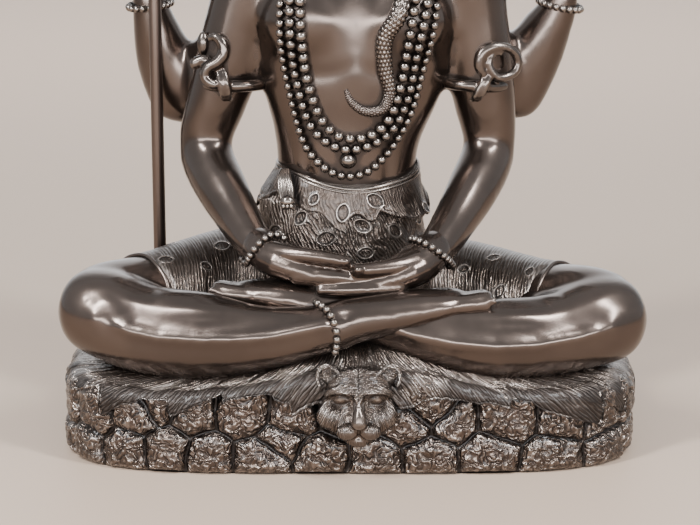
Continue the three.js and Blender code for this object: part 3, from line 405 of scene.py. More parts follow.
leftRearArm = [
    [(-8, 7, 89, 7), (-17, 9, 85, 7.8), (-27, 12, 72, 7.4), (-36, 16.4, 59.6, 6.8), (-42.6, 18.4, 50.4, 5.2)],
    [(-41.6, 18.8, 49.8, 4.6), (-43.4, 18.4, 58, 6.5), (-45.6, 17.4, 68, 6.7), (*leftWrist, 4.6),
     (-48.3, 15.6, 86, 4.2)],
]
rightRearArm = [
    [(13, 7, 89, 7), (22, 9, 85, 7.8), (30, 12, 72, 7.4), (36.6, 16.4, 60, 6.8), (40.6, 18.4, 51, 5.2)],
    [(39.8, 18.8, 50.4, 4.6), (42, 18.4, 59, 6.6), (46, 17.4, 70, 6.8), (*rightWrist, 4.6),
     (51, 15.6, 86, 4.2)],
]


def makeBody():
    bm = bmesh.new()
    limb(bm, body["torso"], 48, 40, up=toFront)
    for centre, radii in body["bellyAndChest"]:
        blob(bm, centre, radii)
    limb(bm, body["neck"], up=toFront)
    for side in (-1, 1):  # slope from the neck to the shoulder
        limb(bm, [(2.5 + side * 2, 5, 101, 4.5), (2.5 + side * 10, 5, 95, 6),
                  (2.5 + side * 19, 4, 90.5, 6.6)])
    for stations in (leftUpperArm, rightUpperArm, leftForearm, rightForearm, *leftRearArm, *rightRearArm):
        limb(bm, stations, 28, 30, up=toFront)
    piece = fused("figure_body", bm, body["voxel"], steps=10, blend=9, blendSize=1.25)

    def line(name, distance):
        depth, width = body[name]
        return depth * bell(distance, width)

    def muscles(points, normals):
        x, z = points[:, 0], points[:, 2] - seat
        facing = smoothstep(0.2, 0.8, -normals[:, 1])
        aside = np.abs(x - 1.4)
        sternum = line("sternum", x - 1.4) * smoothstep(64, 72, z) * (1 - smoothstep(90, 96, z))
        chestEdge = line("chestEdge", z - (65 + 0.03 * (aside - 9) ** 2)) * bell(aside - 9, 8)
        belly = line("belly", np.abs(x + 0.6) - 9.4) * bell(z - 43, 7)
        collar = line("collar", z - (92.5 + 0.12 * np.abs(x - 2.4))) * bell(np.abs(x - 2.4) - 10, 7)
        return facing * (sternum + chestEdge + belly + collar)

    return carve(piece, muscles)


# Hands

hands = {
    "fingerGap": 2.5,
    "upperReach": (0, 1.4, 0.8, -1.2),  # how much longer each finger is than the first
    "lapVoxel": 0.36,
    "rearFingerGap": 2.75,
    "raisedTips": (103.4, 105.8, 105, 101.4),
    "rearVoxel": 0.42,
}
# The trident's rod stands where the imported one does.
rod = {
    "place": tuple(np.round((rodLow + rodHigh) / 2, 2)[:2]),
    "foot": round(rodLow[2], 2), "height": round(rodHigh[2] - rodLow[2], 2),
    "radius": 1.5, "width": 25.0, "prong": 30.0, "thick": 2.6,
}


def makeLapHands():
    bm = bmesh.new()
    even = dict(sides=20, rings=24)
    # Upper hand: wrist and palm, thumb, and fingers side by side
    limb(bm, [(-23, -17.2, 29.2, 1.6), (-21.2, -20.4, 27.9, 3.9), (-19.4, -23, 26.7, 4.8, 4.5),
              (-15.4, -27.2, 25, 4.9, 4), (-8, -29.2, 23.1, 4.9, 3), (0, -29.6, 22, 4.6, 2.4),
              (7, -29.4, 21.4, 4, 2)], **even)
    limb(bm, [(-21, -24.4, 27, 3.4), (-14, -29.8, 27.3, 2.2), (-8, -32.2, 27.2, 1.75),
              (-3.4, -33.2, 26.7, 1.6), (0.4, -33.4, 25.9, 1.4)], **even)
    # Lower hand, with its thumb meeting the other one
    limb(bm, [(21.6, -17.2, 28.6, 1.6), (19.7, -20.4, 27.2, 3.9), (17.8, -23, 25.8, 4.9, 4.6),
              (13.6, -27.4, 23.4, 5.2, 4.4), (7, -29.6, 21.4, 5, 3.1), (-1, -29.6, 20.2, 4.8, 2.2)], **even)
    limb(bm, [(17, -27, 25.6, 3), (11, -31.2, 24.8, 2.2), (5.6, -33.2, 24.5, 1.75),
              (0.2, -34.2, 24.4, 1.45)], **even)
    for finger in range(4):
        back = finger * hands["fingerGap"]
        longer = hands["upperReach"][finger]
        limb(bm, [(-14, -30.8 + back, 22.9, 2.2, 2.3), (-5, -32.6 + back, 22.6, 2, 2.3),
                  (3, -32.6 + back, 21.8, 1.8, 2), (10 + longer, -31.8 + back, 21.2, 1.4, 1.5)], 16, 20)
        limb(bm, [(13, -31 + back, 20.2, 2.5, 2.3), (5, -33.2 + back, 20, 1.95),
                  (-1, -33.8 + back, 19.9, 1.75), (-7.8 - longer, -33.2 + back, 19.8, 1.4)], 16, 18)
    for tip, size in (((-1.2, -34.8, 26.5), 1), ((1.9, -35.7, 24.8), 1.05)):  # thumb nails
        blob(bm, tip, (size, 0.35, size * 0.72), 12, 8)
    return fused("lap_hands", bm, hands["lapVoxel"], steps=5)


def makeRearHands():
    bm = bmesh.new()
    rodX, rodY = rod["place"]
    # Palm and thumb of the hand that grips the rod, then of the raised one
    limb(bm, [(-48.3, 15.6, 81, 4.2), (rodX - 4, rodY + 5.6, 87, 4.8, 3.6),
              (rodX - 4.4, rodY + 3.8, 94, 4.4, 3.2)], up=toFront)
    limb(bm, [(rodX - 2, rodY + 6.4, 86, 2.2), (rodX + 3.4, rodY + 4, 88.5, 1.9),
              (rodX + 3.6, rodY - 1, 91.4, 1.6)], 14, 16)
    limb(bm, [(50.6, 15.2, 80, 4.2), (51.6, 13.8, 87, 5.6, 2.9), (52, 13.2, 94, 5.6, 2.2)], up=toFront)
    limb(bm, [(48.6, 13.6, 84, 2.5), (45.4, 11.8, 89, 2), (44.4, 11.2, 94, 1.5)], 14, 16)
    for finger in range(4):
        level = 86.8 + finger * hands["rearFingerGap"]
        limb(bm, [(rodX - 4.8, rodY + 3.6, level, 1.75), (rodX - 4.6, rodY - 2.2, level, 1.65),
                  (rodX - 0.6, rodY - 4.1, level, 1.5), (rodX + 3.2, rodY - 1.8, level, 1.35)], 14, 20)
        spread = (finger - 1.5) * hands["rearFingerGap"]
        tip = hands["raisedTips"][finger]
        limb(bm, [(52 + spread, 13.2, 90, 1.8), (52.2 + spread * 1.1, 12.6, 98, 1.6),
                  (52.4 + spread * 1.15, 11.6, tip, 1.25)], 14, 20, up=toFront)
    return fused("rear_hands", bm, hands["rearVoxel"], steps=6)


# Legs

nearThigh = [(-29, 3, 13.4, 12.2), (-45, -10, 11.2, 11.7), (-56, -19, 12, 10.9), (-65, -23, 12.6, 8)]
nearShin = [(-65.2, -21, 13, 7.8), (-57, -24.5, 12.8, 10.4, 9.9), (-46, -28.8, 9.7, 9.8, 10.2),
            (-33, -32, 9, 9, 10), (-20, -34.8, 9.2, 7.6, 7.5), (-8, -36.8, 11.4, 6, 5.8),
            (3, -36.8, 13.4, 5.2, 5.2)]
farThigh = [(29, 3, 10.8, 11.5), (44, -9, 9.6, 11.1), (56, -19, 10.8, 10.9), (66.2, -22, 10.4, 8)]
farShin = [(66.6, -20.5, 10.6, 7.8), (58, -24, 10.8, 10.4, 10), (46, -28.3, 8.3, 9.8, 9.2),
           (33, -31.4, 7.9, 9, 9.2), (20, -33, 9.5, 7.5, 7.5), (8, -32.3, 12, 5.8, 5.7),
           (-3, -30.6, 14.4, 5, 5)]
nearFoot = {"sole": [(-12, -37, 11.6, 5, 5), (2, -36, 13.8, 5.8, 5.2), (12, -34.2, 15.2, 6.2, 4.6),
                     (20, -32.4, 16.4, 6.6, 3.6), (28, -31.2, 17, 5.4, 2.5)],
            "root": (20, -35.6, 16.2), "tip": (31.6, -34, 17), "toe": 2.6}
farFoot = {"sole": [(6, -31, 13.6, 5), (-7, -29.4, 15.8, 5.8, 4.6), (-15.5, -27.8, 17.2, 6.2, 3.9),
                    (-22, -26.6, 17.8, 5.8, 2.9), (-27.6, -26, 18, 4.6, 2.1)],
           "root": (-21, -30, 17.2), "tip": (-31, -28, 18), "toe": 2.4}
# Pixels of the photograph where the front of each leg is shaped: the edge of the shin from end to end, its
# end at the knee, the upper edge, and the spots of the calf and the knee cap with their half width and height
legMarks = {
    "near_leg": {
        "knee": (103, 313),
        "shin": [(103, 313), (114, 322), (131, 330), (158, 336), (203, 339), (239, 338), (274, 335),
                 (324, 324)],
        "upper": [(160, 296.5), (175, 295.5), (190, 295), (214, 297)],
        "calf": (217, 312, 46, 12), "cap": (95, 319, 8, 9),
    },
    "far_leg": {
        "knee": (622, 318),
        "shin": [(400, 329), (411, 333), (454, 342), (496, 346), (537, 344), (579, 336), (608, 327),
                 (622, 318)],
        "upper": [(500, 300), (520, 297), (545, 296), (558, 299)],
        "calf": (524, 318, 34, 12), "cap": (614, 325, 9, 10),
    },
}
legRelief = {"shin": 0.8, "below": -0.4, "upper": 0.26, "calf": 0.45, "cap": 0.3}  # heights of the forms
toes = {
    "gap": 2.2, "first": 1, "second": 0.84, "smaller": 0.05,
    "lifts": (0, 0.45, 0, -0.5, -1), "reaches": (0, -0.6, -1.6, -2.8, -4.2),
}


def addToes(bm, foot):
    root, tip = foot["root"], foot["tip"]
    pointing = math.copysign(1, tip[0] - root[0])
    for toe in range(5):
        size = foot["toe"] * (toes["first"] if toe == 0 else toes["second"] - toe * toes["smaller"])
        back, lift = toe * toes["gap"], toes["lifts"][toe]
        reach = toes["reaches"][toe] * pointing
        limb(bm, [(root[0] - 2 * pointing, root[1] + back, root[2] + lift, size),
                  ((root[0] + tip[0]) / 2, (root[1] + tip[1]) / 2 + back, tip[2] + lift - 0.2, size * 0.95),
                  (tip[0] + reach - 1.5 * pointing, tip[1] + back, tip[2] + lift, size * 1.03),
                  (tip[0] + reach, tip[1] + back, tip[2] + lift - 0.1, size)], 16, 20)
    nail = (tip[0] - 0.2 * pointing, tip[1] - foot["toe"] * 0.86, tip[2] + foot["toe"] * 0.35)
    blob(bm, nail, (foot["toe"] * 0.55, 0.3, foot["toe"] * 0.4), 12, 8)


def makeLeg(name, thigh, shin, foot):
    bm = bmesh.new()
    limb(bm, thigh, 36, 30)
    limb(bm, shin, 36, 44)
    limb(bm, foot["sole"], 28, 28)
    bm = reopened(fused(name, bm, 0.8, steps=2, blend=3, blendSize=1.2))
    addToes(bm, foot)
    piece = fused(name, bm, 0.52, steps=5)
    marks = legMarks[name]

    def relief(points, normals):
        pixels = pixelsOf(points)
        facing = smoothstep(-0.15, 0.35, -normals[:, 1] + 0.3 * normals[:, 2]) * (points[:, 1] < -16)
        shinEdge, upperEdge = fromLine(pixels, marks["shin"]), fromLine(pixels, marks["upper"])
        fade = smoothstep(4, 34, np.hypot(*(pixels - marks["knee"]).T))
        rise = legRelief["shin"] * bell(shinEdge + 1, 7) + legRelief["below"] * bell(shinEdge - 16, 9)
        rise = fade * rise + legRelief["upper"] * bell(upperEdge, 5)
        for spot in ("calf", "cap"):
            rise += legRelief[spot] * bell(fromSpot(pixels, marks[spot]), 1)
        return facing * rise

    piece = carve(piece, relief)
    soften(piece, 5)
    return piece


# A closed net of rows and columns, placed by a rule that gets the row and column numbers.
def net(name, columns, rows, rule):
    bm, unit = closedGrid(columns, rows)
    row = np.rint(np.arccos(np.clip(unit[:, 2], -1, 1)) / math.pi * rows).astype(int)
    turn = np.arctan2(unit[:, 1], unit[:, 0]) / (2 * math.pi)
    column = np.rint((turn % 1) * columns).astype(int) % columns
    for vert, place in zip(bm.verts, rule(row, column).tolist()):
        vert.co = place
    return pieceOf(name, bm), row, column


# Base: the wall of stones and the skin over it

base = {
    "width": 132, "depth": 87, "squareness": 4.3,
    "mound": (8.2, 20.0),  # height and half width of the skin's rise between the shins
    "edge": (2.8, 5.2),  # rounding of the edge on the front and at the ends
    "thick": 1.1, "skinColumns": 800, "skinRows": 72, "edgeRow": 36, "lipRows": 5,
    "strokes": (4.2, 1.6), "locks": (11, 4.4),  # length and width of the fur's strokes and locks
    "joint": 1.3, "pits": 0.3,  # depths between the stones and on them
    "dome": (3.2, 1.5),  # reach and height of a stone's rounding
    "wallColumns": 940, "wallRows": 54,
}
angles = np.linspace(0, 2 * math.pi, 4001) - math.pi / 2
outline = np.column_stack([
    np.sign(np.cos(angles)) * base["width"] / 2 * np.abs(np.cos(angles)) ** (2 / base["squareness"]),
    np.sign(np.sin(angles)) * base["depth"] / 2 * np.abs(np.sin(angles)) ** (2 / base["squareness"]),
])
runs = np.concatenate([[0], np.cumsum(np.linalg.norm(np.diff(outline, axis=0), axis=1))])
wallLength = runs[-1]


# Places and outward directions on the wall at distances from the front centre.
def onWall(distance):
    spot = np.mod(distance, wallLength)
    places = np.column_stack([np.interp(spot, runs, outline[:, axis]) for axis in (0, 1)])
    half = np.array([base["width"] / 2, base["depth"] / 2])
    outward = np.sign(places) * np.abs(places / half) ** (base["squareness"] - 1) / half
    return places, unitRows(outward)


# Distance round the wall of a place on the front.
def alongFront(x):
    front = runs < wallLength / 4
    right = np.interp(abs(x), outline[front, 0], runs[front])
    return math.copysign(right, x)


def signedRun(distance):
    return np.mod(distance + wallLength / 2, wallLength) - wallLength / 2


def skinTop(x, y):
    height, width = base["mound"]
    front = smoothstep(base["depth"] * 0.12, base["depth"] * 0.4, -y)
    slope = 3.6 * bell(x - 1.8, 12) * smoothstep(35, 43, -y) + 0.9 * smoothstep(30, 42, -y)
    return seat + height * np.exp(-(((x - 2.5) / width) ** 2)) * front - slope


# How the skin's edge is rounded: crisply on the front, softly at the ends and the back.
def edgeRadius(places):
    front, end = base["edge"]
    ends = np.maximum(smoothstep(46, 60, np.abs(places[:, 0])), smoothstep(-34, -26, places[:, 1]))
    return front + (end - front) * ends


# The skin's ragged edge on the front, with its tongues swept outwards: places across and heights
hemMarks = [
    (-63.3, 16.2), (-61, 16.9), (-58.3, 18.3), (-56.1, 18.4), (-55.8, 16), (-55.6, 12.6), (-54.5, 12.5),
    (-50.5, 15.3), (-45.8, 17.1), (-40, 17.8), (-39.9, 16.3), (-39.8, 13.6), (-39.3, 13.5), (-35.2, 15.6),
    (-31.5, 17.5), (-27.9, 19), (-27.8, 16.8), (-26.2, 17.8), (-21.9, 18.7), (-16.9, 18.9), (-16.5, 17.4),
    (-13.1, 16.9), (-12.7, 14), (-12.3, 13.9), (-9, 16.7), (0, 17), (10.1, 15.1), (13.9, 16), (16.2, 17.6),
    (19.2, 17.8), (24.1, 17.5), (29.8, 16.8), (35.2, 15.5), (35.4, 17.8), (39.7, 16.9), (42.8, 14.8),
    (50.6, 11.8), (55.9, 9.9), (56.2, 15.3), (56.7, 15.7), (59.4, 12.8), (62, 11), (62.4, 15),
]


def hemLevel(distance):
    spot = signedRun(distance)
    known = [(alongFront(x), level) for x, level in hemMarks]
    chance = random.Random(5)
    place = known[-1][0] + 5
    while place < known[0][0] + wallLength - 14:  # round the sides and back the tongues are left to chance
        high = 15.4 + 1.6 * chance.random()
        low = high - 2 - 3 * chance.random()
        known += [(place, high), (place + 0.6, low), (place + 4 + 3 * chance.random(), (high + low) / 2 + 1)]
        place = known[-1][0] + 3 + 3 * chance.random()
    known = sorted((signedRun(s), z) for s, z in known)
    level = np.interp(spot, [s for s, _ in known], [z for _, z in known], period=wallLength)
    ragged = 0.35 * noiseAt(np.column_stack([spot * 0.7, spot * 0]), 3) + 0.3 * noiseAt(
        np.column_stack([spot * 1.9, spot * 0]), 4)
    return level + ragged


# Strokes of fur: long ridges along the first coordinate, with a second, finer set between them.
def furStrokes(along, across, length, width, seed):
    bend = 0.5 * noiseAt(np.column_stack([along / 9, across / 7]), seed + 1)
    coarse = noiseAt(np.column_stack([along / length, across / width + bend * 2]), seed + 2)
    fine = noiseAt(np.column_stack([along / length * 1.7, across / width * 2.1 + bend]), seed + 3)
    return 0.65 * (1 - 2 * np.abs(coarse)) + 0.35 * (1 - 2 * np.abs(fine))


def makeSkin(legs):
    columns, rows, edgeRow = base["skinColumns"], base["skinRows"], base["edgeRow"]
    lipRow = rows - base["lipRows"]
    shown = {}

    def rule(row, column):
        distance = column / columns * wallLength
        level = hemLevel(distance)
        places, outward = onWall(distance)
        hanging = np.clip((row - edgeRow) / (lipRow - edgeRow), 0, 1)
        spot = signedRun(distance)
        share = np.clip(row / edgeRow, 0, 1)
        reach = 0.3 * np.minimum(share / 0.12, 1) + 0.7 * np.clip((share - 0.12) / 0.88, 0, 1)
        reach = np.where(row == 0, 0, reach)
        radius = edgeRadius(places)
        thick = base["thick"] * (1 - 0.6 * smoothstep(50, 62, np.abs(places[:, 0])))
        inset = radius - thick
        flatX = (places[:, 0] - outward[:, 0] * inset) * reach
        flatY = (places[:, 1] - outward[:, 1] * inset) * reach
        top = skinTop(flatX, flatY)
        depth = np.maximum(top - level, 0.5)
        arc = radius * np.arccos(np.clip(1 - depth / radius, 0, 1))
        run = hanging * (arc + np.maximum(depth - radius, 0))
        bend = np.minimum(run, arc) / radius
        out = radius * np.sin(bend)
        z = top - radius * (1 - np.cos(bend)) - np.maximum(run - arc, 0)
        lip = np.clip((row - lipRow) / (rows - lipRow), 0, 1)
        out = out - lip * 2.6 - 1.5 * bell(spot - 1.8, 8.5) * smoothstep(0.1, 0.5, hanging)
        x = flatX + outward[:, 0] * out
        y = flatY + outward[:, 1] * out
        last = row >= rows
        x, y, z = np.where(last, 0, x), np.where(last, 0, y), np.where(last, seat - 4, z)
        shown.update(distance=spot, run=np.where(row > edgeRow, run + 40, reach * 40), hanging=hanging)
        return np.column_stack([x, y, z])

    piece, row, column = net("animal_skin", columns, rows, rule)
    mesh = piece.data

    # The skin swells up where it meets the legs.
    lifted = pointsOf(mesh)
    near = (shown["run"] > 8) & (shown["hanging"] < 0.45) & (lifted[:, 1] < 12)
    for number in np.flatnonzero(near):
        gap = min(tree.find_nearest(lifted[number])[3] for tree in legs)
        lifted[number, 2] += 0.7 * math.exp(-((gap / 1.8) ** 2))
    setPoints(mesh, lifted)

    # Locks of fur sweep outwards from the head, over shorter strokes. Towards the legs the skin is smoother.
    def fur(points, normals):
        spot, run = shown["distance"], shown["run"]
        slant = np.tanh(spot / 9) * 0.85
        sway = 1.6 * noiseAt(np.column_stack([spot / 13, run / 9]), 22)
        across = spot - slant * (run - 40) + sway
        radial = np.arctan2(points[:, 0], -points[:, 1]) * 34
        across = np.where(run < 30, radial, across)
        strokes = furStrokes(run, across, *base["strokes"], 11)
        lockLength, lockWidth = base["locks"]
        locks = 1 - 2.2 * np.abs(noiseAt(np.column_stack([run / lockLength, across / lockWidth]), 21))
        smooth = 1 - smoothstep(-3.5, 2.5, run - 40)
        rim = bell(shown["hanging"] - 0.97, 0.035)
        keepFlow(piece, run * 0.4, across * 0.9, 0.25 * smooth)
        shownShare = smoothstep(12, 24, run) * (row < lipRow)
        return shownShare * ((0.3 - 0.1 * smooth) * strokes + (0.42 - 0.12 * smooth) * locks + 0.25 * rim)

    return carve(piece, fur)


# Middles of the stones on the front: places across and heights
stoneMarks = {
    "upper": [(-57.7, 11.6), (-48.3, 13.1), (-42.4, 15.4), (-35.3, 13.1), (-23.5, 13.1), (-13.4, 12.4),
              (-15.3, 8), (0, 13), (12.9, 11.1), (17.8, 14.4), (22.4, 11.6), (34.8, 12.2), (48.2, 11.6),
              (57.4, 11)],
    "lower": [(-60.1, 4.6), (-51, 4.8), (-40.9, 5.4), (-31.6, 4.6), (-19.8, 4), (-6.3, 4), (5.5, 3.6),
              (17.7, 3.8), (30.2, 4.8), (46, 3.6), (58.9, 4.2)],
}


def stoneCentres():
    chance = random.Random(9)
    centres = []
    for marks, level in ((stoneMarks["upper"], 12.4), (stoneMarks["lower"], 4.2)):
        known = [(alongFront(x), z) for x, z in marks]
        centres += known
        place = known[-1][0] + 12
        while place < known[0][0] + wallLength - 6:
            centres.append((place, level + 1.4 * (chance.random() - 0.5)))
            place += 9.5 + 6 * chance.random()
    return centres


def makeStones():
    columns, rows = base["wallColumns"], base["wallRows"]
    domeReach, domeHeight = base["dome"]
    centres = np.array(stoneCentres())
    shown = {}

    def rule(row, column):
        distance = column / columns * wallLength
        places, outward = onWall(distance)
        radius = edgeRadius(places) - base["thick"]
        inset = places - outward * radius[:, None]
        crest = skinTop(inset[:, 0], inset[:, 1]) - base["thick"] * 0.9
        level = (1 - np.clip((row - 1) / (rows - 2), 0, 1)) * crest
        spot = signedRun(distance)
        warp = np.column_stack([spot * 0.28, level * 0.28])
        across = spot + 0.7 * noiseAt(warp, 31)
        up = level + 0.6 * noiseAt(warp, 32)
        gaps = np.stack([
            (signedRun(across - s) * 0.9) ** 2 + (up - z) ** 2 * 1.25 for s, z in centres
        ])
        order = np.argsort(gaps, axis=0)[:2]
        nearest, second = (np.take_along_axis(gaps, order[i:i + 1], 0)[0] for i in (0, 1))
        between = np.hypot(signedRun(centres[order[0], 0] - centres[order[1], 0]) * 0.9,
                           centres[order[0], 1] - centres[order[1], 1])

        def rough(scale, seed):
            return noiseAt(np.column_stack([spot * scale, level * scale]), seed)

        # How far a point lies from the joint round its stone
        edge = (second - nearest) / (2 * np.maximum(between, 1))
        edge = np.minimum(edge + 0.25 * rough(0.7, 36), level * 1.2 + 0.1)
        edge = edge - 0.45 * smoothstep(2.6, 0, level) * (order[0] % 3 == 1)
        rise = smoothstep(0.08, 0.75, edge)
        dome = 1 - (1 - np.clip(edge / domeReach, 0, 1)) ** 2
        tilt = np.sin(order[0] * 2.4) * 0.35
        worms, pits = (2.6 * np.abs(rough(scale, seed)) - 0.7 for scale, seed in ((0.5, 34), (0.85, 35)))
        texture = base["pits"] * (0.5 * worms + 0.6 * pits) * rise
        face = dome * domeHeight - 0.95 + tilt * 0.5 + 0.3 * rough(0.5, 33)
        out = (rise - 1) * base["joint"] + rise * face + texture
        bend = np.clip((level - crest + radius) / radius, 0, 1)
        out = out - 0.2 - radius * (1 - np.sqrt(1 - bend ** 2))
        inner = (row == 0) | (row == rows)
        x = np.where(inner, 0, places[:, 0] + outward[:, 0] * out)
        y = np.where(inner, 0, places[:, 1] + outward[:, 1] * out)
        shown["joint"] = 1 - smoothstep(0.08, 0.5, edge)
        return np.column_stack([x, y, np.where(row == 0, 17.5, np.where(row == rows, 0, level))])

    piece = net("stone_base", columns, rows, rule)[0]
    keepValues(piece, "joint", shown["joint"])
    return piece


# The animal's head: heights above the ground, and how deep its forms are carved
beast = {
    "middle": 1.9, "eyes": 18.1, "nose": 13.9, "chin": 9.0, "voxel": 0.3,
    "eyeball": 0.95, "socket": -1.2, "lids": -0.4, "browEdge": -0.3, "split": -0.22, "vees": -0.24,
    "parting": -0.2, "underNose": -0.14, "ear": -0.4, "strokes": 0.12,
}


def makeAnimalHead():
    middle = beast["middle"]
    bm = bmesh.new()
    blob(bm, (middle, -43.4, 20), (7.6, 4.4, 5), 32, 20, **onGround)
    blob(bm, (middle - 0.2, -43.2, 14.8), (8.8, 4.2, 5.6), 32, 20, **onGround)
    blob(bm, (middle, -45.4, 12), (5.6, 3.6, 4.2), **onGround)
    for side in (-1, 1):
        blob(bm, (middle - 0.3 + side * 5.8, -44.6, 14), (3.4, 3.4, 3.2), **onGround)
    bm = reopened(fused("animal_head", bm, 0.5, steps=2, blend=5, blendSize=0.8))
    # Broad bridge running into the tip of the nose, chin
    limb(bm, [(middle - 0.1, -44.8, 24, 1.8, 1.2), (middle, -46.7, 20.4, 1.5, 1.4),
              (middle, -47.9, 17.6, 1.25, 1.5), (middle + 0.1, -49.4, 15, 1.5, 1.5),
              (middle + 0.1, -50.4, 12.6, 1.6, 1.1)], 24, 24, up=toFront, **onGround)
    blob(bm, (middle + 0.1, -49.7, beast["nose"]), (1.85, 1.1, 0.95), **onGround)
    blob(bm, (middle - 0.2, -46.8, beast["chin"] + 0.6), (2.8, 2.2, 1.7), **onGround)
    for side in (-1, 1):
        blob(bm, (middle + side * 2.3, -48, 11.7), (2.6, 2.3, 1.9), tilt=(0, side * 0.2, 0), **onGround)
        # Heavy brow
        limb(bm, [(middle, -46.8, 20.6, 0.9), (middle + side * 2.6, -47.4, 20.7, 1.15),
                  (middle + side * 5, -46.9, 20.4, 1.1), (middle + side * 7.4, -44.6, 18.8, 0.8)],
             16, 18, **onGround)
        # Ear with a rolled rim, turned outwards
        blob(bm, (middle + side * 6.6, -43.2, 23.2), (2, 1.4, 2.1), **onGround)
        limb(bm, [(middle + side * 3.4, -44.6, 22.2, 0.5), (middle + side * 4.9, -44.9, 24.4, 0.42),
                  (middle + side * 6.9, -44.9, 25.6, 0.42), (middle + side * 8.5, -44.5, 24.8, 0.42),
                  (middle + side * 9.1, -44, 22.8, 0.42), (middle + side * 8.4, -43.8, 20.4, 0.5)],
             12, 30, up=toFront, **onGround)
    piece = fused("animal_head", bm, beast["voxel"], steps=4)

    def fur(points, normals):
        x, z = points[:, 0] - middle, points[:, 2]
        side, eyes = np.abs(x), beast["eyes"]
        away = np.hypot(x, (z - 16) * 0.9)
        turn = np.arctan2(x, 16 - z)
        strokes = furStrokes(away, turn * np.maximum(away, 3), 2, 0.75, 41)
        front = smoothstep(0.1, 0.5, -normals[:, 1]) * (points[:, 1] < -44.5)
        bridge = bell(x, 1.7) * smoothstep(19.4, 18, z) * smoothstep(12.6, 13.4, z)
        eyeball = bell(np.hypot((side - 4.2) / 1.3, (z - eyes) / 0.75), 1)
        socket = bell(np.hypot((side - 3.9) / 2.5, (z - eyes + 0.2) / 1.5), 1)
        lids = bell(np.abs(z - eyes) - 0.95 + 0.16 * (side - 4.2) ** 2, 0.2)
        lids = lids * smoothstep(2.4, 2, np.abs(side - 4.2))
        browEdge = bell(z - 19.7 + 0.07 * (side - 3.5) ** 2, 0.3) * smoothstep(7, 6, side)
        browEdge = browEdge * smoothstep(1, 1.8, side)
        ear = bell(np.hypot(side - 6.4, (z - 23.3) * 0.85), 1.2) * (z > 21.5)
        split = bell(x, 0.25) * smoothstep(10.4, 11, z) * smoothstep(13, 12.4, z)
        vees = bell(np.mod(z - 0.95 * side, 1.3) - 0.65, 0.26) * bell(x, 1.5) * smoothstep(17.2, 18, z)
        parting = bell(x, 0.3) * smoothstep(20.5, 21.5, z)
        underNose = bell(z - 12.5 - 0.06 * x ** 2, 0.25) * smoothstep(2.4, 1.8, side)
        muzzle = bell(np.hypot(x / 4.4, (z - 11) / 2.6), 1)
        bare = np.maximum(np.maximum(bridge, 0.8 * muzzle), np.maximum(eyeball, 0.6 * socket))
        keepFlow(piece, away * 0.5, turn * np.maximum(away, 3) * 1.5, np.clip(bare * 1.3, 0, 1))
        forms = dict(eyeball=eyeball, socket=socket, lids=lids, browEdge=browEdge, split=split, vees=vees,
                     parting=parting, underNose=underNose)
        shape = sum(beast[form] * share for form, share in forms.items())
        return beast["strokes"] * strokes * (1 - bare) + front * shape + beast["ear"] * ear

    return carve(piece, fur)


# Cloth

# The spotted fur: size of its rings, how much they vary, their slimness and how far off they still count
rosette = {"size": 1.6, "vary": 0.15, "slim": 0.68, "reach": 3.0}
# The cloth over the thighs. Its spots are pixels of the photograph, with the turn and size of each ring.
thighCloth = {
    "hemPlace": 48.5, "loose": 0.5, "voxel": 0.62, "hemRadius": 0.5, "strokes": (3.4, 1.0),
    "spots": [((166, 260), 0.4, 1.9), ((207, 266), -0.2, 1.5), ((222, 246), 0.6, 2.1), ((494, 257), 0.1, 1.7),
              ((530, 271), 1.2, 1.6), ((464, 269), -0.2, 1.6), ((499, 293), 0.9, 2)],
}


# How far each point lies outside the nearest almond-shaped ring, in the cloth's own plane.
def ringGap(points, marks):
    gapTo = np.full(len(points), rosette["reach"])
    for centre, normal, angle, size in marks:
        gap = points - centre
        close = (np.abs(gap) < size * 2.2).all(axis=1)
        if not close.any():
            continue
        down = np.cross(normal, (1.0, 0, 0))
        down /= np.linalg.norm(down)
        across = np.cross(down, normal)
        u, v = gap[close] @ across, gap[close] @ down
        length = u * math.cos(angle) + v * math.sin(angle)
        width = v * math.cos(angle) - u * math.sin(angle)
        half = size * rosette["slim"]
        radius = (size * size + half * half) / (2 * half)
        away = np.maximum(np.hypot(length, width + radius - half), np.hypot(length, width - radius + half))
        gapTo[close] = np.minimum(gapTo[close], away - radius)
    return gapTo


# The rings stand up a little round a dimple. Their fine line is left to the material.
def ringRelief(gapTo):
    return 0.14 * bell(gapTo, 0.42) - 0.06 * smoothstep(-0.25, -0.7, gapTo)


# The spots that the photograph shows, and more of them spread where no other one is near.
def rosetteMarks(piece, points, normals, spots, allowed, gap, count, seed):
    tree = treeOf(piece)
    marks = []
    for pixel, angle, size in spots:
        hit = underPixel(tree, pixel)
        if hit is not None:
            nearest = np.argmin(((points - np.array(hit)) ** 2).sum(axis=1))
            marks.append((points[nearest], normals[nearest], angle, size))
    chance = random.Random(seed)
    numbers = np.flatnonzero(allowed)
    vary = rosette["vary"]
    for attempt in range(count * 12):
        number = numbers[chance.randrange(len(numbers))]
        place = points[number]
        if all(np.linalg.norm(place - mark[0]) > gap for mark in marks):
            angle, size = chance.uniform(-1, 1), rosette["size"] * chance.uniform(1 - vary, 1 + vary)
            marks.append((place, normals[number], angle, size))
    return marks


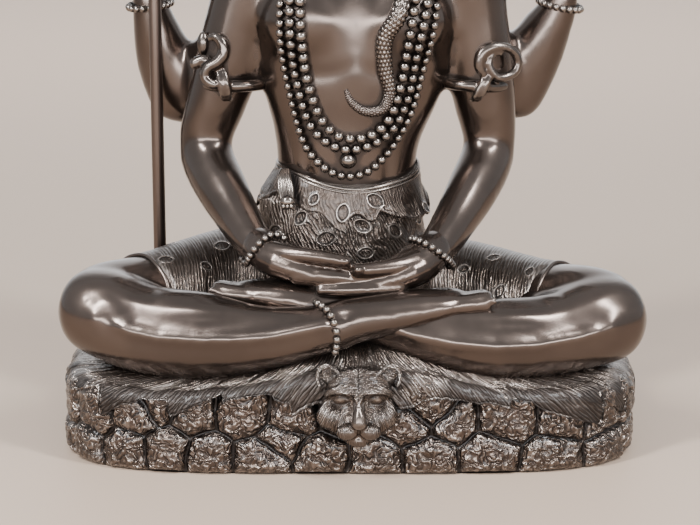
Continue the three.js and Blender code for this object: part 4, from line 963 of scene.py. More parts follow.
def makeThighCloth():
    bm = bmesh.new()
    blob(bm, (0, 9, 12.4), (26, 16.5, 13), 40, 24)
    for thigh, side in ((nearThigh, -1), (farThigh, 1)):
        full = [(side * 6, 15, 13.2, 12), (side * 16, 11, thigh[0][2], 12.9)] + [tuple(s[:4]) for s in thigh]
        full = [(x, y + 0.3, z + 0.1, r + thighCloth["loose"]) for x, y, z, r in full]
        last, knee = full[3], full[4]
        share = (side * thighCloth["hemPlace"] - last[0]) / (knee[0] - last[0])
        end = tuple(a + (b - a) * share for a, b in zip(last, knee))
        limb(bm, full[:4] + [end], 44, 40, endCap=1.2)
    piece = fused("thigh_cloth", bm, thighCloth["voxel"], steps=5, blend=4)

    def fur(points, normals):
        allowed = (points[:, 2] > 26) & (points[:, 1] > -8)
        marks = rosetteMarks(piece, points, normals, thighCloth["spots"], allowed, 9, 40, 4)
        outward = np.hypot(points[:, 0], points[:, 1] - 10)
        along = points[:, 2] * 1.1
        across = outward + 0.3 * points[:, 2]
        strokes = furStrokes(along, across, *thighCloth["strokes"], 51)
        folds = noiseAt(np.column_stack([outward / 12, points[:, 2] / 9]), 52)
        gapTo = ringGap(points, marks)
        keepFlow(piece, along * 0.4, across, 0.5 * smoothstep(34, 42, points[:, 2]))
        keepValues(piece, "ring", rosette["reach"] + gapTo)
        return 0.13 * strokes + 0.3 * folds + ringRelief(gapTo)

    return carve(piece, fur)


# A rolled hem: a closed tube along a ring of places.
def roll(bm, places, radius, sides=8):
    count = len(places)
    places = np.asarray(places, float)
    part = bmesh.new()
    verts = bmesh.ops.create_grid(part, x_segments=count, y_segments=sides, size=0.5)["verts"]
    number = np.array([round((vert.co.x + 0.5) * count) % count for vert in verts])
    angle = np.array([(vert.co.y + 0.5) * 2 * math.pi for vert in verts])
    ahead = unitRows(np.roll(places, -1, 0) - np.roll(places, 1, 0))
    outward = places - places.mean(axis=0)
    outward = unitRows(outward - ahead * (outward * ahead).sum(axis=1, keepdims=True))
    over = np.cross(ahead, outward)
    aside = np.cos(angle)[:, None] * outward[number] + np.sin(angle)[:, None] * over[number]
    for vert, place in zip(verts, (places[number] + radius * aside).tolist()):
        vert.co = place
    bmesh.ops.remove_doubles(part, verts=part.verts[:], dist=1e-4)
    join(bm, part)


def makeHems():
    bm = bmesh.new()
    for thigh, side in ((nearThigh, -1), (farThigh, 1)):
        last, knee = np.array(thigh[1]), np.array(thigh[2])
        share = (side * thighCloth["hemPlace"] - last[0]) / (knee[0] - last[0])
        centre = last + (knee - last) * share + (0, 0.3, 0.1, 0.05)
        ahead = (knee - last)[:3] / np.linalg.norm((knee - last)[:3])
        across = np.cross((0, 0, 1), ahead)
        across /= np.linalg.norm(across)
        over = np.cross(ahead, across)
        ring = []
        for angle in turnSteps(140):
            wave = 0.5 * math.sin(angle * 3) + 0.3 * math.sin(angle * 7)
            out = centre[3] * (math.cos(angle) * across + math.sin(angle) * over)
            ring.append(centre[:3] + (0, 0, seat) + out + ahead * (wave * 0.7 - 0.9 * math.cos(angle) + 0.1))
        roll(bm, ring, thighCloth["hemRadius"], 10)
    return pieceOf("thigh_hems", bm)


# The cloth round the waist in two layers, each as rings of middle, height above the ground, half width and
# half depth, and the upper layer's hem as places across and heights
waist = {
    "under": [(-0.6, 0.6, 62.4, 15.2, 12), (-1.3, 0.6, 60, 16.4, 12.5), (-2.3, 0.8, 55, 19, 13.9),
              (-2.3, 1.3, 47, 20, 15), (-0.8, 3, 38, 21.6, 16.6), (-0.6, 4, 31, 23, 17)],
    "over": [(-0.6, 0.6, 63, 16.2, 12.9), (-1, 0.6, 60.6, 17.3, 13.6), (-1.8, 0.8, 56.4, 19.2, 14.9),
             (-2, 0.9, 52, 19.9, 15.8), (-1.6, 1.1, 48, 20.4, 16.4)],
    "hem": [(-21.6, 53.8), (-19, 56.2), (-16.2, 57.2), (-12.8, 55.2), (-9.4, 53.5), (-6, 53.5),
            (-4.2, 52.1), (-2.3, 49.6), (0, 48.6), (1, 52), (2.6, 52.9), (4.4, 52.4), (6.4, 51),
            (7.4, 51.4), (8.6, 53.4), (12.8, 52), (16.4, 50.8), (20, 51.4)],
    "spots": [((343, 213), 1.4, 2.2), ((375, 201), -0.5, 2.3), ((314, 199), 0.9, 1.6),
              ((363, 225), -0.5, 2.2), ((326, 239), 0.25, 2.4), ((395, 230), -0.7, 2), ((300, 219), 0.9, 2),
              ((365, 254), 0, 2), ((276, 230), 0.4, 1.9)],
    "strokes": (1.7, 0.9), "folds": 0.45, "flare": 0.9, "dip": (4.2, 0.22, 1.6), "wall": 1.1,
}


# The waist's upper edge dips in front, lowest a little to the right.
def rimDip(angle):
    depth, aside, narrow = waist["dip"]
    return depth * np.clip(-np.sin(angle - aside), 0, 1) ** narrow


def waistNet(name, sections, columns, rows, seed, hemRule=None):
    sections = np.array(sections, float)
    lipRow = rows - 4
    shown = {}

    def rule(row, column):
        angle = column / columns * 2 * math.pi
        share = np.clip((row - 1) / (lipRow - 1), 0, 1)
        heights = sections[:, 2]
        top = heights[0] - rimDip(angle)
        bottom = hemRule(angle) if hemRule else np.full(len(angle), heights[-1])
        z = top + (bottom - top) * share
        cx, cy, wide, thick = (np.interp(-z, -heights, sections[:, number]) for number in (0, 1, 3, 4))
        inner = (row > lipRow) | (row == 0)
        grow = -np.where(inner, waist["wall"], 0)
        if hemRule:  # the upper layer stands off on the right
            grow = grow + waist["flare"] * smoothstep(8.5, 12, np.cos(angle) * 20) * smoothstep(0.5, 1, share)
        pole = (row == 0) | (row >= rows)
        x = np.where(pole, 0, cx + np.cos(angle) * (wide + grow))
        y = np.where(pole, 0, cy + np.sin(angle) * (thick + grow))
        z = z + np.where(row > lipRow, 1.2, 0)
        shown.update(angle=angle, z=z, bottom=bottom)
        return np.column_stack([x, y, z])

    piece, row, column = net(name, columns, rows, rule)

    def fur(points, normals):
        angle, z = shown["angle"], shown["z"]
        allowed = (points[:, 1] > -4) & (z > 36)
        marks = rosetteMarks(piece, points, normals, waist["spots"], allowed, 8, 30, seed)
        sway = 1.5 * noiseAt(np.column_stack([z / 5, angle * 4]), seed + 6)
        across = angle * 19 + 0.35 * z + sway
        strokes = furStrokes(z, across, *waist["strokes"], seed)
        folds = noiseAt(np.column_stack([z / 9, across / 6]), seed + 5)
        gapTo = ringGap(points, marks)
        shownRows = (row > 0) & (row < lipRow)
        edge = 0.3 * bell(z - shown["bottom"] - 0.5, 0.5) if hemRule else 0
        bare, height = (0.45, 0.09) if hemRule else (0.1, 0.13)
        keepFlow(piece, z * 0.6, across, np.full(len(z), bare))
        keepValues(piece, "ring", rosette["reach"] + gapTo)
        return shownRows * (height * strokes + waist["folds"] * folds + ringRelief(gapTo) + edge)

    return carve(piece, fur)


def upperHem(angle):
    known = waist["hem"]
    front = np.interp(-0.8 + np.cos(angle) * 21, [x for x, _ in known], [z for _, z in known])
    back = 52 + 1.6 * np.sin(angle * 7) + np.sin(angle * 11)
    ragged = 0.5 * noiseAt(np.column_stack([angle * 14, angle * 0]), 61)
    return np.where(np.sin(angle) < 0, front, back) + ragged


def makeWaistRim():
    bm = bmesh.new()
    ring = []
    for angle in turnSteps(180):
        z = 63.1 - rimDip(angle) + 0.2 * math.sin(angle * 5)
        swell = np.interp(z, (58, 63.2), (1.0, 0))
        ring.append((-0.6 + math.cos(angle) * (16.5 + swell), 0.6 + math.sin(angle) * (13.1 + swell), z))
    roll(bm, ring, 0.42)
    roll(bm, [(x * 1.014, y * 1.014, z - 0.8) for x, y, z in ring], 0.34)
    # Loose strands that end in a small paw
    for sway in (-1.9, -1.1, -0.3, 0.6, 1.5):
        limb(bm, [(-15 + sway * 0.3, -9.6, 63, 0.55), (-15 + sway * 0.6, -12.4, 61.4, 0.6),
                  (-14.6 + sway * 0.8, -14.1, 59, 0.55), (-14.2 + sway * 0.55, -15.1, 55.6, 0.6)],
             12, 20, up=toFront, **onGround)
    blob(bm, (-14.3, -15.2, 56.3), (1.75, 1.4, 1.5), **onGround)
    for toe in range(3):
        blob(bm, (-15.2 + toe * 0.9, -16, 55.3), (0.55, 0.7, 0.75), 12, 8, **onGround)
    return pieceOf("waist_rim", bm)


# Head

# Chin and crown are heights above the ground, and the other levels are shares of the height between them.
head = {
    "x": 2.6, "chin": 127.5, "crown": 164.0, "voxel": 0.4, "eyeSpread": 4.85, "eyeHalf": 2.55,
    "eyes": 0.474, "lid": 0.508, "brows": 0.592, "nostrils": 0.288, "mouth": 0.181,
}


def headLevel(share):
    return head["chin"] + (head["crown"] - head["chin"]) * share


def makeHead():
    x, at, level = head["x"], headLevel, onGround
    bm = bmesh.new()
    # Skull, face, chin, cheeks and jaw
    blob(bm, (x, 2, at(0.62)), (12.2, 14.4, 14.2), 40, 26, **level)
    blob(bm, (x, -3.4, at(0.37)), (9.9, 9.6, 12.8), 40, 26, **level)
    blob(bm, (x, -9.6, at(0.085)), (4, 3, 3.1), **level)
    for side in (-1, 1):
        blob(bm, (x + side * 5.4, -7.8, at(0.31)), (4.2, 4, 4.8), **level)
        limb(bm, [(x + side * 3, -8.2, at(0.06), 2.4), (x + side * 8, -3.6, at(0.16), 2.6),
                  (x + side * 10, 1.4, at(0.34), 2.6)], **level)
    bm = reopened(fused("head", bm, 0.6, steps=3, blend=7))
    # Nose, nostrils, eyes, brows and lips
    limb(bm, [(x, -10.8, at(0.62), 2.2, 1.3), (x, -12, at(0.52), 1.9, 1.6), (x, -13.4, at(0.41), 1.9, 1.7),
              (x, -14.6, at(0.32), 2.2, 1.9), (x, -14.2, at(0.28), 2, 1.6)], 20, 24, up=toFront, **level)
    for side in (-1, 1):
        blob(bm, (x + side * 1.75, -13.3, at(0.315)), (1.25, 1.5, 1.15), **level)
        blob(bm, (x + side * 4.85, -9.7, at(0.483)), (2.7, 1.9, 1.75), **level)
        limb(bm, [(x + side * 1.2, -11.2, at(0.55), 0.8), (x + side * 4.6, -11.5, at(0.592), 1),
                  (x + side * 8.2, -9.3, at(0.575), 0.9), (x + side * 10, -6.8, at(0.535), 0.5)],
             14, 20, **level)
        limb(bm, [(x + side * 0.2, -13.1, at(0.198), 0.75), (x + side * 1.4, -13, at(0.212), 0.85),
                  (x + side * 4.2, -11.2, at(0.19), 0.45)], 14, 18, **level)
        limb(bm, [(x - side * 0.8, -13, at(0.158), 0.95), (x + side * 1.2, -12.8, at(0.158), 1),
                  (x + side * 3.9, -11.2, at(0.183), 0.45)], 14, 18, **level)
        # Ear: helix, inner fold and lobe
        limb(bm, [(x + side * 10.9, -1.4, at(0.44), 0.9), (x + side * 11.8, -1.8, at(0.56), 0.95),
                  (x + side * 12.7, 0.8, at(0.62), 0.95), (x + side * 13, 3.2, at(0.55), 0.9),
                  (x + side * 12.6, 3, at(0.44), 0.85), (x + side * 12.2, 1, at(0.35), 1),
                  (x + side * 11.8, -0.2, at(0.28), 1.25), (x + side * 11.4, -1, at(0.32), 0.8)], 14, 40,
             up=(1, 0, 0), **level)
        blob(bm, (x + side * 11.4, 1, at(0.45)), (1.1, 2.6, 4.6), **level)
    piece = fused("head", bm, head["voxel"], steps=8)

    def features(points, normals):
        dx, z = points[:, 0] - x, points[:, 2]
        facing = smoothstep(0.05, 0.45, -normals[:, 1])
        side = np.abs(dx)
        span = (side - head["eyeSpread"]) / head["eyeHalf"]
        within = np.clip(1 - span ** 2, 0, 1)
        lidLine = at(head["eyes"]) + 0.25 * span - 0.75 * within
        eye = smoothstep(1.15, 0.95, np.abs(span))
        slit = -0.34 * eye * bell(z - lidLine, 0.22)
        lidEdge = 0.2 * eye * bell(z - lidLine - 0.42, 0.3)
        crease = -0.3 * smoothstep(1.35, 1.0, np.abs(span))
        crease = crease * bell(z - at(head["lid"]) - 0.9 * within + 0.5, 0.32)
        under = -0.16 * eye * bell(z - lidLine + 1.5 - 0.3 * within, 0.4)
        lipLine = z - at(head["mouth"]) - 0.035 * side ** 1.5 + 0.15 * bell(dx, 0.9)
        mouth = -0.5 * smoothstep(4.7, 3.4, side) * bell(lipLine, 0.24)
        philtrum = -0.22 * bell(dx, 0.55) * bell(z - at(0.247), 1.1)
        nostril = -0.5 * bell(np.hypot(side - 1.25, (z - at(head["nostrils"])) * 1.2), 0.55)
        nostril = nostril * (normals[:, 2] < -0.15)
        browLine = 0.13 * bell(z - at(head["brows"]) - 0.5 * np.cos(side / 4.2) + 0.06 * side, 0.5)
        browLine = browLine * smoothstep(9.6, 8, side) * smoothstep(1.2, 2.2, side)
        return facing * (slit + lidEdge + crease + under + mouth + philtrum + browLine) + nostril

    return carve(piece, features)


hairStyle = {"hairline": 0.74, "folds": 17, "knotTurns": 3.4, "knotHeight": 13.4, "locks": 9, "twist": 0.1}


# Strands that run round a lock: a carving rule for a limb.
def strandRule(count, twist, seed=0):
    depth = hairStyle["twist"]

    def strands(along, turn):
        main = depth * np.cos(count * turn + twist * along * 2 * math.pi + seed)
        return 1 + main + depth * 0.4 * np.cos((2 * count + 1) * turn + twist * along * 5 + seed)

    return strands


def makeHair():
    x, at, level = head["x"], headLevel, onGround
    bm = bmesh.new()
    part, unit = closedGrid(204, 50)
    ux, uy, uz = unit.T
    angle = np.arctan2(ux, -uy)
    hairline = at(hairStyle["hairline"] - 0.03 * np.cos(2 * angle))
    drop = 2.5 + 11 * smoothstep(-0.25, 0.3, uy) + 5 * np.maximum(0, uy)  # behind the ears it hangs lower
    z = hairline + np.where(uz > 0, uz * 12, uz * drop)
    folds = hairStyle["folds"]
    fold = 1 + 0.028 * np.cos(folds * angle + 3 * uz) * (1 - 0.6 * np.maximum(0, uz))
    fold = fold + 0.012 * np.cos(3 * folds * angle + 5 * uz)
    addTo(bm, part, np.column_stack([x + ux * 13.3 * fold, 4 + uy * 15 * fold, z]))
    # Knot of one coiled lock
    crown, steps = head["crown"], 44
    helix = []
    for step in range(steps + 1):
        share = step / steps
        angle = share * hairStyle["knotTurns"] * 2 * math.pi + 0.6
        ring = 7.4 * (1 - share) ** 0.7 + 0.6 * share
        up = crown - 1 + hairStyle["knotHeight"] * share ** 0.85
        helix.append((x + math.cos(angle) * ring, 4.4 + math.sin(angle) * ring, up, 3.1 - 1.3 * share))
    limb(bm, helix, 32, 220, up=(0, 0, 1), carving=strandRule(5, 24), **level)
    blob(bm, (x, 4.4, crown + 3), (7, 7, 9.4), **level)
    # Long locks down the back
    count = hairStyle["locks"]
    chance = random.Random(3)
    for number in range(count):
        spread = (number - (count - 1) / 2) / ((count - 1) / 2)
        hollow = spread * spread
        wave = (1.3 if number % 2 else -1.3) * chance.uniform(0.8, 1.2)
        length = 98 + 8 * hollow + chance.uniform(-2, 2)
        limb(bm, [
            (x + spread * 9.5, 12.6 - 5 * hollow, 152, 2.6),
            (x + spread * 11.5 + wave, 15.2 - 5 * hollow, 136, 3),
            (x + spread * 14.5 - wave, 15.8 - 3 * hollow, 121, 3),
            (x + spread * 15.5 + wave, 16.8 - 3 * hollow, 108, 2.7),
            (x + spread * 14 - wave * 0.6, 15.6 - 2.4 * hollow, length, 1.2),
        ], 24, 60, up=toFront, carving=strandRule(4, 6 + number % 3, number), **level)
    return pieceOf("hair", bm)


earring = {"level": 0.205, "radius": 2.5, "thick": 0.85, "drop": (1.1, 1.1, 1.2)}


def makeEarrings():
    bm = bmesh.new()
    radius, z = earring["radius"], headLevel(earring["level"])
    for side in (-1, 1):
        x = head["x"] + side * 12
        ring = [(x, 0.4 + math.cos(angle) * radius, z + math.sin(angle) * radius) for angle in turnSteps(48)]
        roll(bm, ring, earring["thick"], 12)
        blob(bm, (x, 0.4, z - 2.6), earring["drop"], **onGround)
    return pieceOf("earrings", bm)


crescent = {"radius": 5.0, "inner": 0.86, "shift": 0.42, "thick": 1.5, "turn": -0.5, "bevel": 0.35}


def makeCrescent():
    bm = bmesh.new()
    outer, steps = crescent["radius"], 28
    rim = []
    for step in range(steps + 1):
        angle = math.pi * (1.12 + 0.76 * step / steps)
        rim.append((outer * math.cos(angle), outer * math.sin(angle)))
    inner, shift = outer * crescent["inner"], outer * crescent["shift"]
    for step in range(steps + 1):
        angle = math.pi * (1.8 - 0.6 * step / steps)
        rim.append((inner * math.cos(angle), shift + inner * math.sin(angle)))
    addPlate(bm, rim, (0, 0, 0), crescent["thick"])
    place = Matrix.Translation((head["x"] - 5, -4.4, head["crown"] + 6))
    bmesh.ops.transform(bm, matrix=place @ Matrix.Rotation(crescent["turn"], 4, "Z"), verts=bm.verts[:])
    return bevelled(pieceOf("crescent", bm), crescent["bevel"])


# Ornaments

# Each strand's bead and its places across and above the seat. Behind the neck it closes through places that
# are given above the ground.
necklace = {
    "strands": [
        (2.55, [(-11.4, 84), (-10.9, 73), (-9.8, 64), (-6.4, 54.5), (-3, 51.2), (0.2, 50.4), (4.4, 50.9),
                (8.4, 54), (11.4, 62), (13, 71), (15, 84)]),
        (2.45, [(-13.4, 84), (-13.4, 74), (-12, 63), (-8.6, 52.6), (-3.6, 48.6), (0.2, 47.9), (4.6, 48.8),
                (9.4, 52), (13, 59), (15, 69), (17.6, 83)]),
        (2.1, [(-15.6, 83), (-15.4, 70), (-13.4, 59), (-9.8, 47.6), (-4.4, 42.6), (0, 41.6), (4, 42.6),
               (8.6, 46.6), (13.4, 54.6), (16.4, 65), (19.6, 81)]),
    ],
    "behindNeck": [(17.5, 2, 117.5), (10, 9.6, 121), (2.6, 11.4, 122.4), (-5, 9.6, 121), (-12.6, 2, 117.5)],
    "pendant": {"x": -0.4, "z": 65.4, "ball": (1.7, 1.5, 1.7), "disc": (2, 0.8, 2)},
    "sunk": 0.4,  # share of a bead that lies in the skin
}


def addBead(bm, place, radius):
    bead = bmesh.new()
    bmesh.ops.create_icosphere(bead, subdivisions=2, radius=radius, matrix=Matrix.Translation(place))
    join(bm, bead)


def makeNecklaces(tree):
    bm = bmesh.new()
    for bead, strand in necklace["strands"]:
        sunk = bead * necklace["sunk"]
        front = [(x, frontAt(tree, x, z + seat, 0) - sunk, z + seat) for x, z in strand]
        for number, place in enumerate(evenPoints(front + necklace["behindNeck"], bead * 1.01)):
            if place[1] < 1:
                place[1] = frontAt(tree, place[0], place[2], place[1] + sunk) - sunk
            wobble = 0.04 * bead * math.sin(number * 12.9898)
            addBead(bm, place, bead * 0.5 + wobble * 0.5)
    pendant = necklace["pendant"]
    x, z = pendant["x"], pendant["z"]
    depth = frontAt(tree, x, z - 0.2, -14)
    blob(bm, (x, depth - 1.1, z), pendant["ball"], **onGround)
    blob(bm, (x, depth - 0.2, z), pendant["disc"], **onGround)
    return pieceOf("necklaces", bm)


# The snake round the neck, with places above the ground, and down the chest: across, above the seat, radius
snake = {
    "roundNeck": [(-11, -7, 117, 2.2), (-7.8, 3, 124, 2.2), (0, 11, 127, 2.1), (9, 8, 125.5, 2.1),
                  (14.6, 0, 119.5, 2), (15.4, -7, 115, 2)],
    "onChest": [(13.5, 88, 2), (11, 79, 2), (7.9, 73.6, 1.9), (7.9, 67, 1.75), (9, 60.8, 1.5),
                (7.6, 57.4, 1.3), (3.8, 56.7, 1.1), (0.4, 58.8, 0.85), (-1, 61.8, 0.5)],
    "head": (-11.6, -7.6, 117.8), "scale": 1.15, "scalesRound": 11,
}


def makeSnake(tree):
    body = snake["roundNeck"] + [(x, frontAt(tree, x, z + seat, -12) - size * 0.4, z + seat, size)
                                 for x, z, size in snake["onChest"]]
    length = curveLength(np.array(body))

    def scales(along, turn):
        run = along * length / snake["scale"]
        row = np.floor(run)
        part = run - row
        around = turn * snake["scalesRound"] / (2 * math.pi) + 0.5 * (row % 2)
        across = around - np.rint(around)
        shape = np.clip(1 - (part - 0.45) ** 2 * 5 - across ** 2 * 4.2, 0, 1)
        return 0.9 + 0.18 * np.sqrt(shape)

    bm = bmesh.new()
    limb(bm, body, 66, 520, up=(0.2, -1, 0.2), carving=scales, **onGround)
    # Hood, snout and eyes
    x, y, z = snake["head"]
    blob(bm, (x, y, z), (4, 1.8, 4.8), tilt=(0.4, 0, 0), **onGround)
    blob(bm, (x, y - 2.4, z + 2.2), (1.9, 2.8, 1.6), **onGround)
    for side in (-1, 1):
        blob(bm, (x + side * 1.2, y - 3.4, z + 3), (0.5, 0.5, 0.5), 12, 8, **onGround)
    return pieceOf("snake", bm)


armlet = {
    "bands": ((-27, 0), (28.9, 0.06)),  # place across and tilt of each
    "wide": 7.6, "deep": 8.2, "level": 81.6, "radius": 1.4, "voxel": 0.36,
}


# A snake's body on an armlet. A place may have a fourth number that scales the radius.
def cord(bm, places, radius, rings=60):
    limb(bm, [(*place[:3], radius * (place[3] if len(place) > 3 else 1)) for place in places], 18, rings,
         up=(0.1, -1, 0.3), **onGround)


def makeArmlets():
    bm = bmesh.new()
    for x, turn in armlet["bands"]:
        ring = []
        for angle in turnSteps(96):
            out = Vector((math.cos(angle) * armlet["wide"], math.sin(angle) * armlet["deep"], 0))
            out.rotate(Euler((0, turn, 0)))
            ring.append((x + out.x, 2.4 + out.y, armlet["level"] + out.z))
        roll(bm, ring, armlet["radius"], 16)
    # A snake's body in an S over the left band, its coils beside it, and the wraps round the band
    cord(bm, [(-32.6, -5, 92.4, 0.8), (-31, -5.8, 93), (-29.4, -6.2, 91.8, 1.35), (-29, -6.4, 89.4, 1.5),
              (-30.4, -6.6, 87.3, 1.5), (-32.7, -6.6, 85.9, 1.3), (-33.4, -6.6, 84, 1.2),
              (-32, -7, 82.4, 1.2), (-30.4, -7, 81.8, 0.9)], 1.0, rings=90)
    for aside in (0, 1.3):
        cord(bm, [(-31.4 + aside, -5, 86.8, 0.7), (-30.2 + aside, -6.6, 84.6), (-29.6 + aside, -7.2, 81.8),
                  (-29.2 + aside, -6.4, 79.2, 0.9), (-28.8 + aside, -4.4, 78.4, 0.7)], 0.85)
    cord(bm, [(-32, -5.4, 87.6, 0.9), (-34, -5, 87.6, 1.1), (-35.8, -4.6, 86.8, 1.3),
              (-37, -4.4, 86.6, 1)], 1.1)
    blob(bm, (-33.9, -2.4, 91), (1.5, 1.5, 3), **onGround)
    # The same in a coil over the right band
    cord(bm, [(31.4, -6.4, 83.6, 0.8), (29.8, -6.6, 86.4, 1.3), (30.4, -6.4, 89.2, 1.4),
              (32.8, -6, 90.6, 1.2), (35.2, -5.4, 90.7), (37.6, -4.6, 89.6), (38.8, -4, 87.4),
              (38.4, -4.2, 85.2), (36.6, -5, 83.9), (34.2, -6, 83.7), (32.6, -6.6, 85.2, 0.8),
              (32, -6.6, 87.4, 0.8), (33.2, -6, 89.2, 0.7), (35.2, -5.4, 89.2, 0.6)], 1.05, rings=140)
    for aside in (0, 1.1):
        cord(bm, [(31.2 + aside, -5.4, 85.4, 0.7), (30.8 + aside, -6.6, 83.6), (30 + aside, -7, 81.6),
                  (28.8 + aside, -6.6, 79.2, 0.9), (28 + aside, -4.8, 78.2, 0.7)], 0.8)
    return fused("armlets", bm, armlet["voxel"], steps=3)


bracelet = {
    "radius": 5.1, "beads": 19, "bead": 1.8,  # on the rear wrists
    "wristBead": 1.65, "sunk": 0.32, "pitch": 1.06, "reach": 6,
    "middles": {"left": (-19.8, -22.2, 46.9), "right": (18.6, -22, 45.8), "ankle": (-5.4, -36.8, 32.2)},
}


def addBracelet(bm, centre, direction):
    axis = Vector(direction).normalized()
    across = axis.cross(Vector((0, 1, 0))).normalized()
    over = axis.cross(across)
    middle = Vector((centre[0], centre[1], centre[2] + seat))
    radius = bracelet["radius"]
    for angle in turnSteps(bracelet["beads"]):
        place = middle + across * math.cos(angle) * radius + over * math.sin(angle) * radius
        addBead(bm, place, bracelet["bead"] / 2)


# Pixels where the bracelets on the wrists and the anklet are seen in the photograph
braceletMarks = {
    "left": [(282, 239), (276.5, 236.3), (269.8, 236.3), (264, 240), (257.4, 245.8), (251.6, 254.4),
             (247.8, 262), (247.4, 270)],
    "right": [(413.3, 240), (420.9, 242), (428.5, 245.8), (435.2, 249.6), (442.5, 255.4), (448.2, 261),
              (448.6, 267.8), (446.7, 273)],
    "ankle": [(309, 301.3), (318.6, 306), (327, 312), (332, 320), (335, 328), (336, 339), (334.6, 349),
              (327, 356)],
}


# A loop of beads on what the photograph shows of it. Its hidden half mirrors that through its middle.
def addChain(bm, trees, name, bead):
    middle = Vector(bracelet["middles"][name])
    front = []
    for pixel in braceletMarks[name]:
        hits = [hit for hit in (underPixel(tree, pixel) for tree in trees) if hit is not None]
        if hits:
            hit = min(hits, key=lambda place: place.y)
            if abs((hit - middle).length - bracelet["reach"]) < 4:
                front.append(hit + (hit - middle).normalized() * bead * bracelet["sunk"])
    loop = [tuple(place) for place in front] + [tuple(middle * 2 - place) for place in front]
    for place in evenPoints(loop, bead * bracelet["pitch"]):
        addBead(bm, place, bead / 2)


def makeBracelets(wrists, ankle):
    bm = bmesh.new()
    addChain(bm, wrists, "left", bracelet["wristBead"])
    addChain(bm, wrists, "right", bracelet["wristBead"])
    addChain(bm, [ankle], "ankle", bracelet["bead"])
    addBracelet(bm, leftWrist, (-0.1, -0.1, 1))
    addBracelet(bm, rightWrist, (0.2, -0.1, 1))
    return pieceOf("bracelets", bm)


# Trident

# A curve of three marks, without its first point.
def bend(a, b, c, steps=14):
    return [tuple((1 - t) ** 2 * p + 2 * t * (1 - t) * q + t * t * r for p, q, r in zip(a, b, c))
            for t in (step / steps for step in range(1, steps + 1))]


# Radii and heights of the turned collar below the fork
collarProfile = [(0, -4), (1.45, -4), (1.95, -3.9), (2.85, -2.5), (1.95, -1.1), (1.9, -0.9), (2.55, 0.5),
                 (1.6, 1.5), (0, 1.6)]


def makeTrident():
    bm = bmesh.new()
    x, y = rod["place"]
    fork = rod["foot"] + rod["height"] - rod["prong"]
    length = fork + rod["thick"] - rod["foot"]
    bmesh.ops.create_cone(bm, segments=40, radius1=rod["radius"], radius2=rod["radius"], depth=length,
                          cap_ends=True, matrix=Matrix.Translation((x, y, rod["foot"] + length / 2)))
    collar = bmesh.new()
    line = [collar.verts.new((x + radius, y, fork + up)) for radius, up in collarProfile]
    edges = [collar.edges.new(pair) for pair in zip(line, line[1:])]
    bmesh.ops.spin(collar, geom=line + edges, cent=(x, y, fork), axis=(0, 0, 1), angle=2 * math.pi, steps=36,
                   use_merge=True)
    bmesh.ops.remove_doubles(collar, verts=collar.verts[:], dist=1e-4)
    join(bm, collar)
    half, prong, thick = rod["width"] / 2, rod["prong"], rod["thick"]
    # Middle prong and side prong: places across and above the fork
    spear = [(-thick / 2, -thick), (thick / 2, -thick), (thick / 2, prong * 0.45)]
    spear += [(thick * 1.15, prong * 0.55)]
    spear += bend(spear[-1], (thick * 0.7, prong * 0.85), (0, prong))
    spear += bend((0, prong), (-thick * 0.7, prong * 0.85), (-thick * 1.15, prong * 0.55))
    spear += [(-thick / 2, prong * 0.45)]
    horn = [(0, -thick * 0.6)]
    horn += bend(horn[-1], (half, 0), (half * 0.98, prong * 0.5))
    horn += bend(horn[-1], (half * 1.02, prong * 0.66), (half * 0.78, prong * 0.8))
    horn += bend(horn[-1], (half * 0.74, prong * 0.2), (0, thick * 0.7))
    for shape, side in ((spear, 1), (horn, 1), (horn, -1)):
        addPlate(bm, [(side * across, up) for across, up in shape], (x, y, fork), thick)
    return bevelled(pieceOf("trident_and_rod", bm), 0.3)


# Materials

def materialOf(name):
    material = bpy.data.materials.new(name)
    material.use_nodes = True
    return material, material.node_tree, material.node_tree.nodes["Principled BSDF"]


# Node helpers: each takes sockets or plain values and gives back an output socket.
def feed(tree, socket, value):
    if isinstance(value, bpy.types.NodeSocket):
        tree.links.new(value, socket)
    else:
        socket.default_value = value


def mathNode(tree, operation, first, second=0.0):
    node = tree.nodes.new("ShaderNodeMath")
    node.operation = operation
    feed(tree, node.inputs[0], first)
    feed(tree, node.inputs[1], second)
    return node.outputs[0]


def rangeNode(tree, value, low, high, newLow=0.0, newHigh=1.0):
    node = tree.nodes.new("ShaderNodeMapRange")
    node.interpolation_type = "SMOOTHSTEP"
    for socket, number in zip(node.inputs, (value, low, high, newLow, newHigh)):
        feed(tree, socket, number)
    return node.outputs["Result"]


def noiseNode(tree, vector, scale, detail, rough=0.55, bend=0.0):
    node = tree.nodes.new("ShaderNodeTexNoise")
    values = {"Vector": vector, "Scale": scale, "Detail": detail, "Roughness": rough, "Distortion": bend}
    for name, value in values.items():
        feed(tree, node.inputs[name], value)
    return node.outputs["Fac"]


def mixNode(tree, share, first, second):
    node = tree.nodes.new("ShaderNodeMix")
    node.data_type = "RGBA"
    feed(tree, node.inputs["Factor"], share)
    for socket, value in ((node.inputs[6], first), (node.inputs[7], second)):
        feed(tree, socket, value if isinstance(value, bpy.types.NodeSocket) else (*value, 1))
    return node.outputs[2]


def bumpNode(tree, height, distance, strength=1.0, normal=None):
    node = tree.nodes.new("ShaderNodeBump")
    node.inputs["Strength"].default_value = strength
    node.inputs["Distance"].default_value = distance * 0.001
    tree.links.new(height, node.inputs["Height"])
    if normal is not None:
        tree.links.new(normal, node.inputs["Normal"])
    return node.outputs["Normal"]


def attributeNode(tree, name, output="Fac"):
    node = tree.nodes.new("ShaderNodeAttribute")
    node.attribute_name = name
    return node.outputs[output]


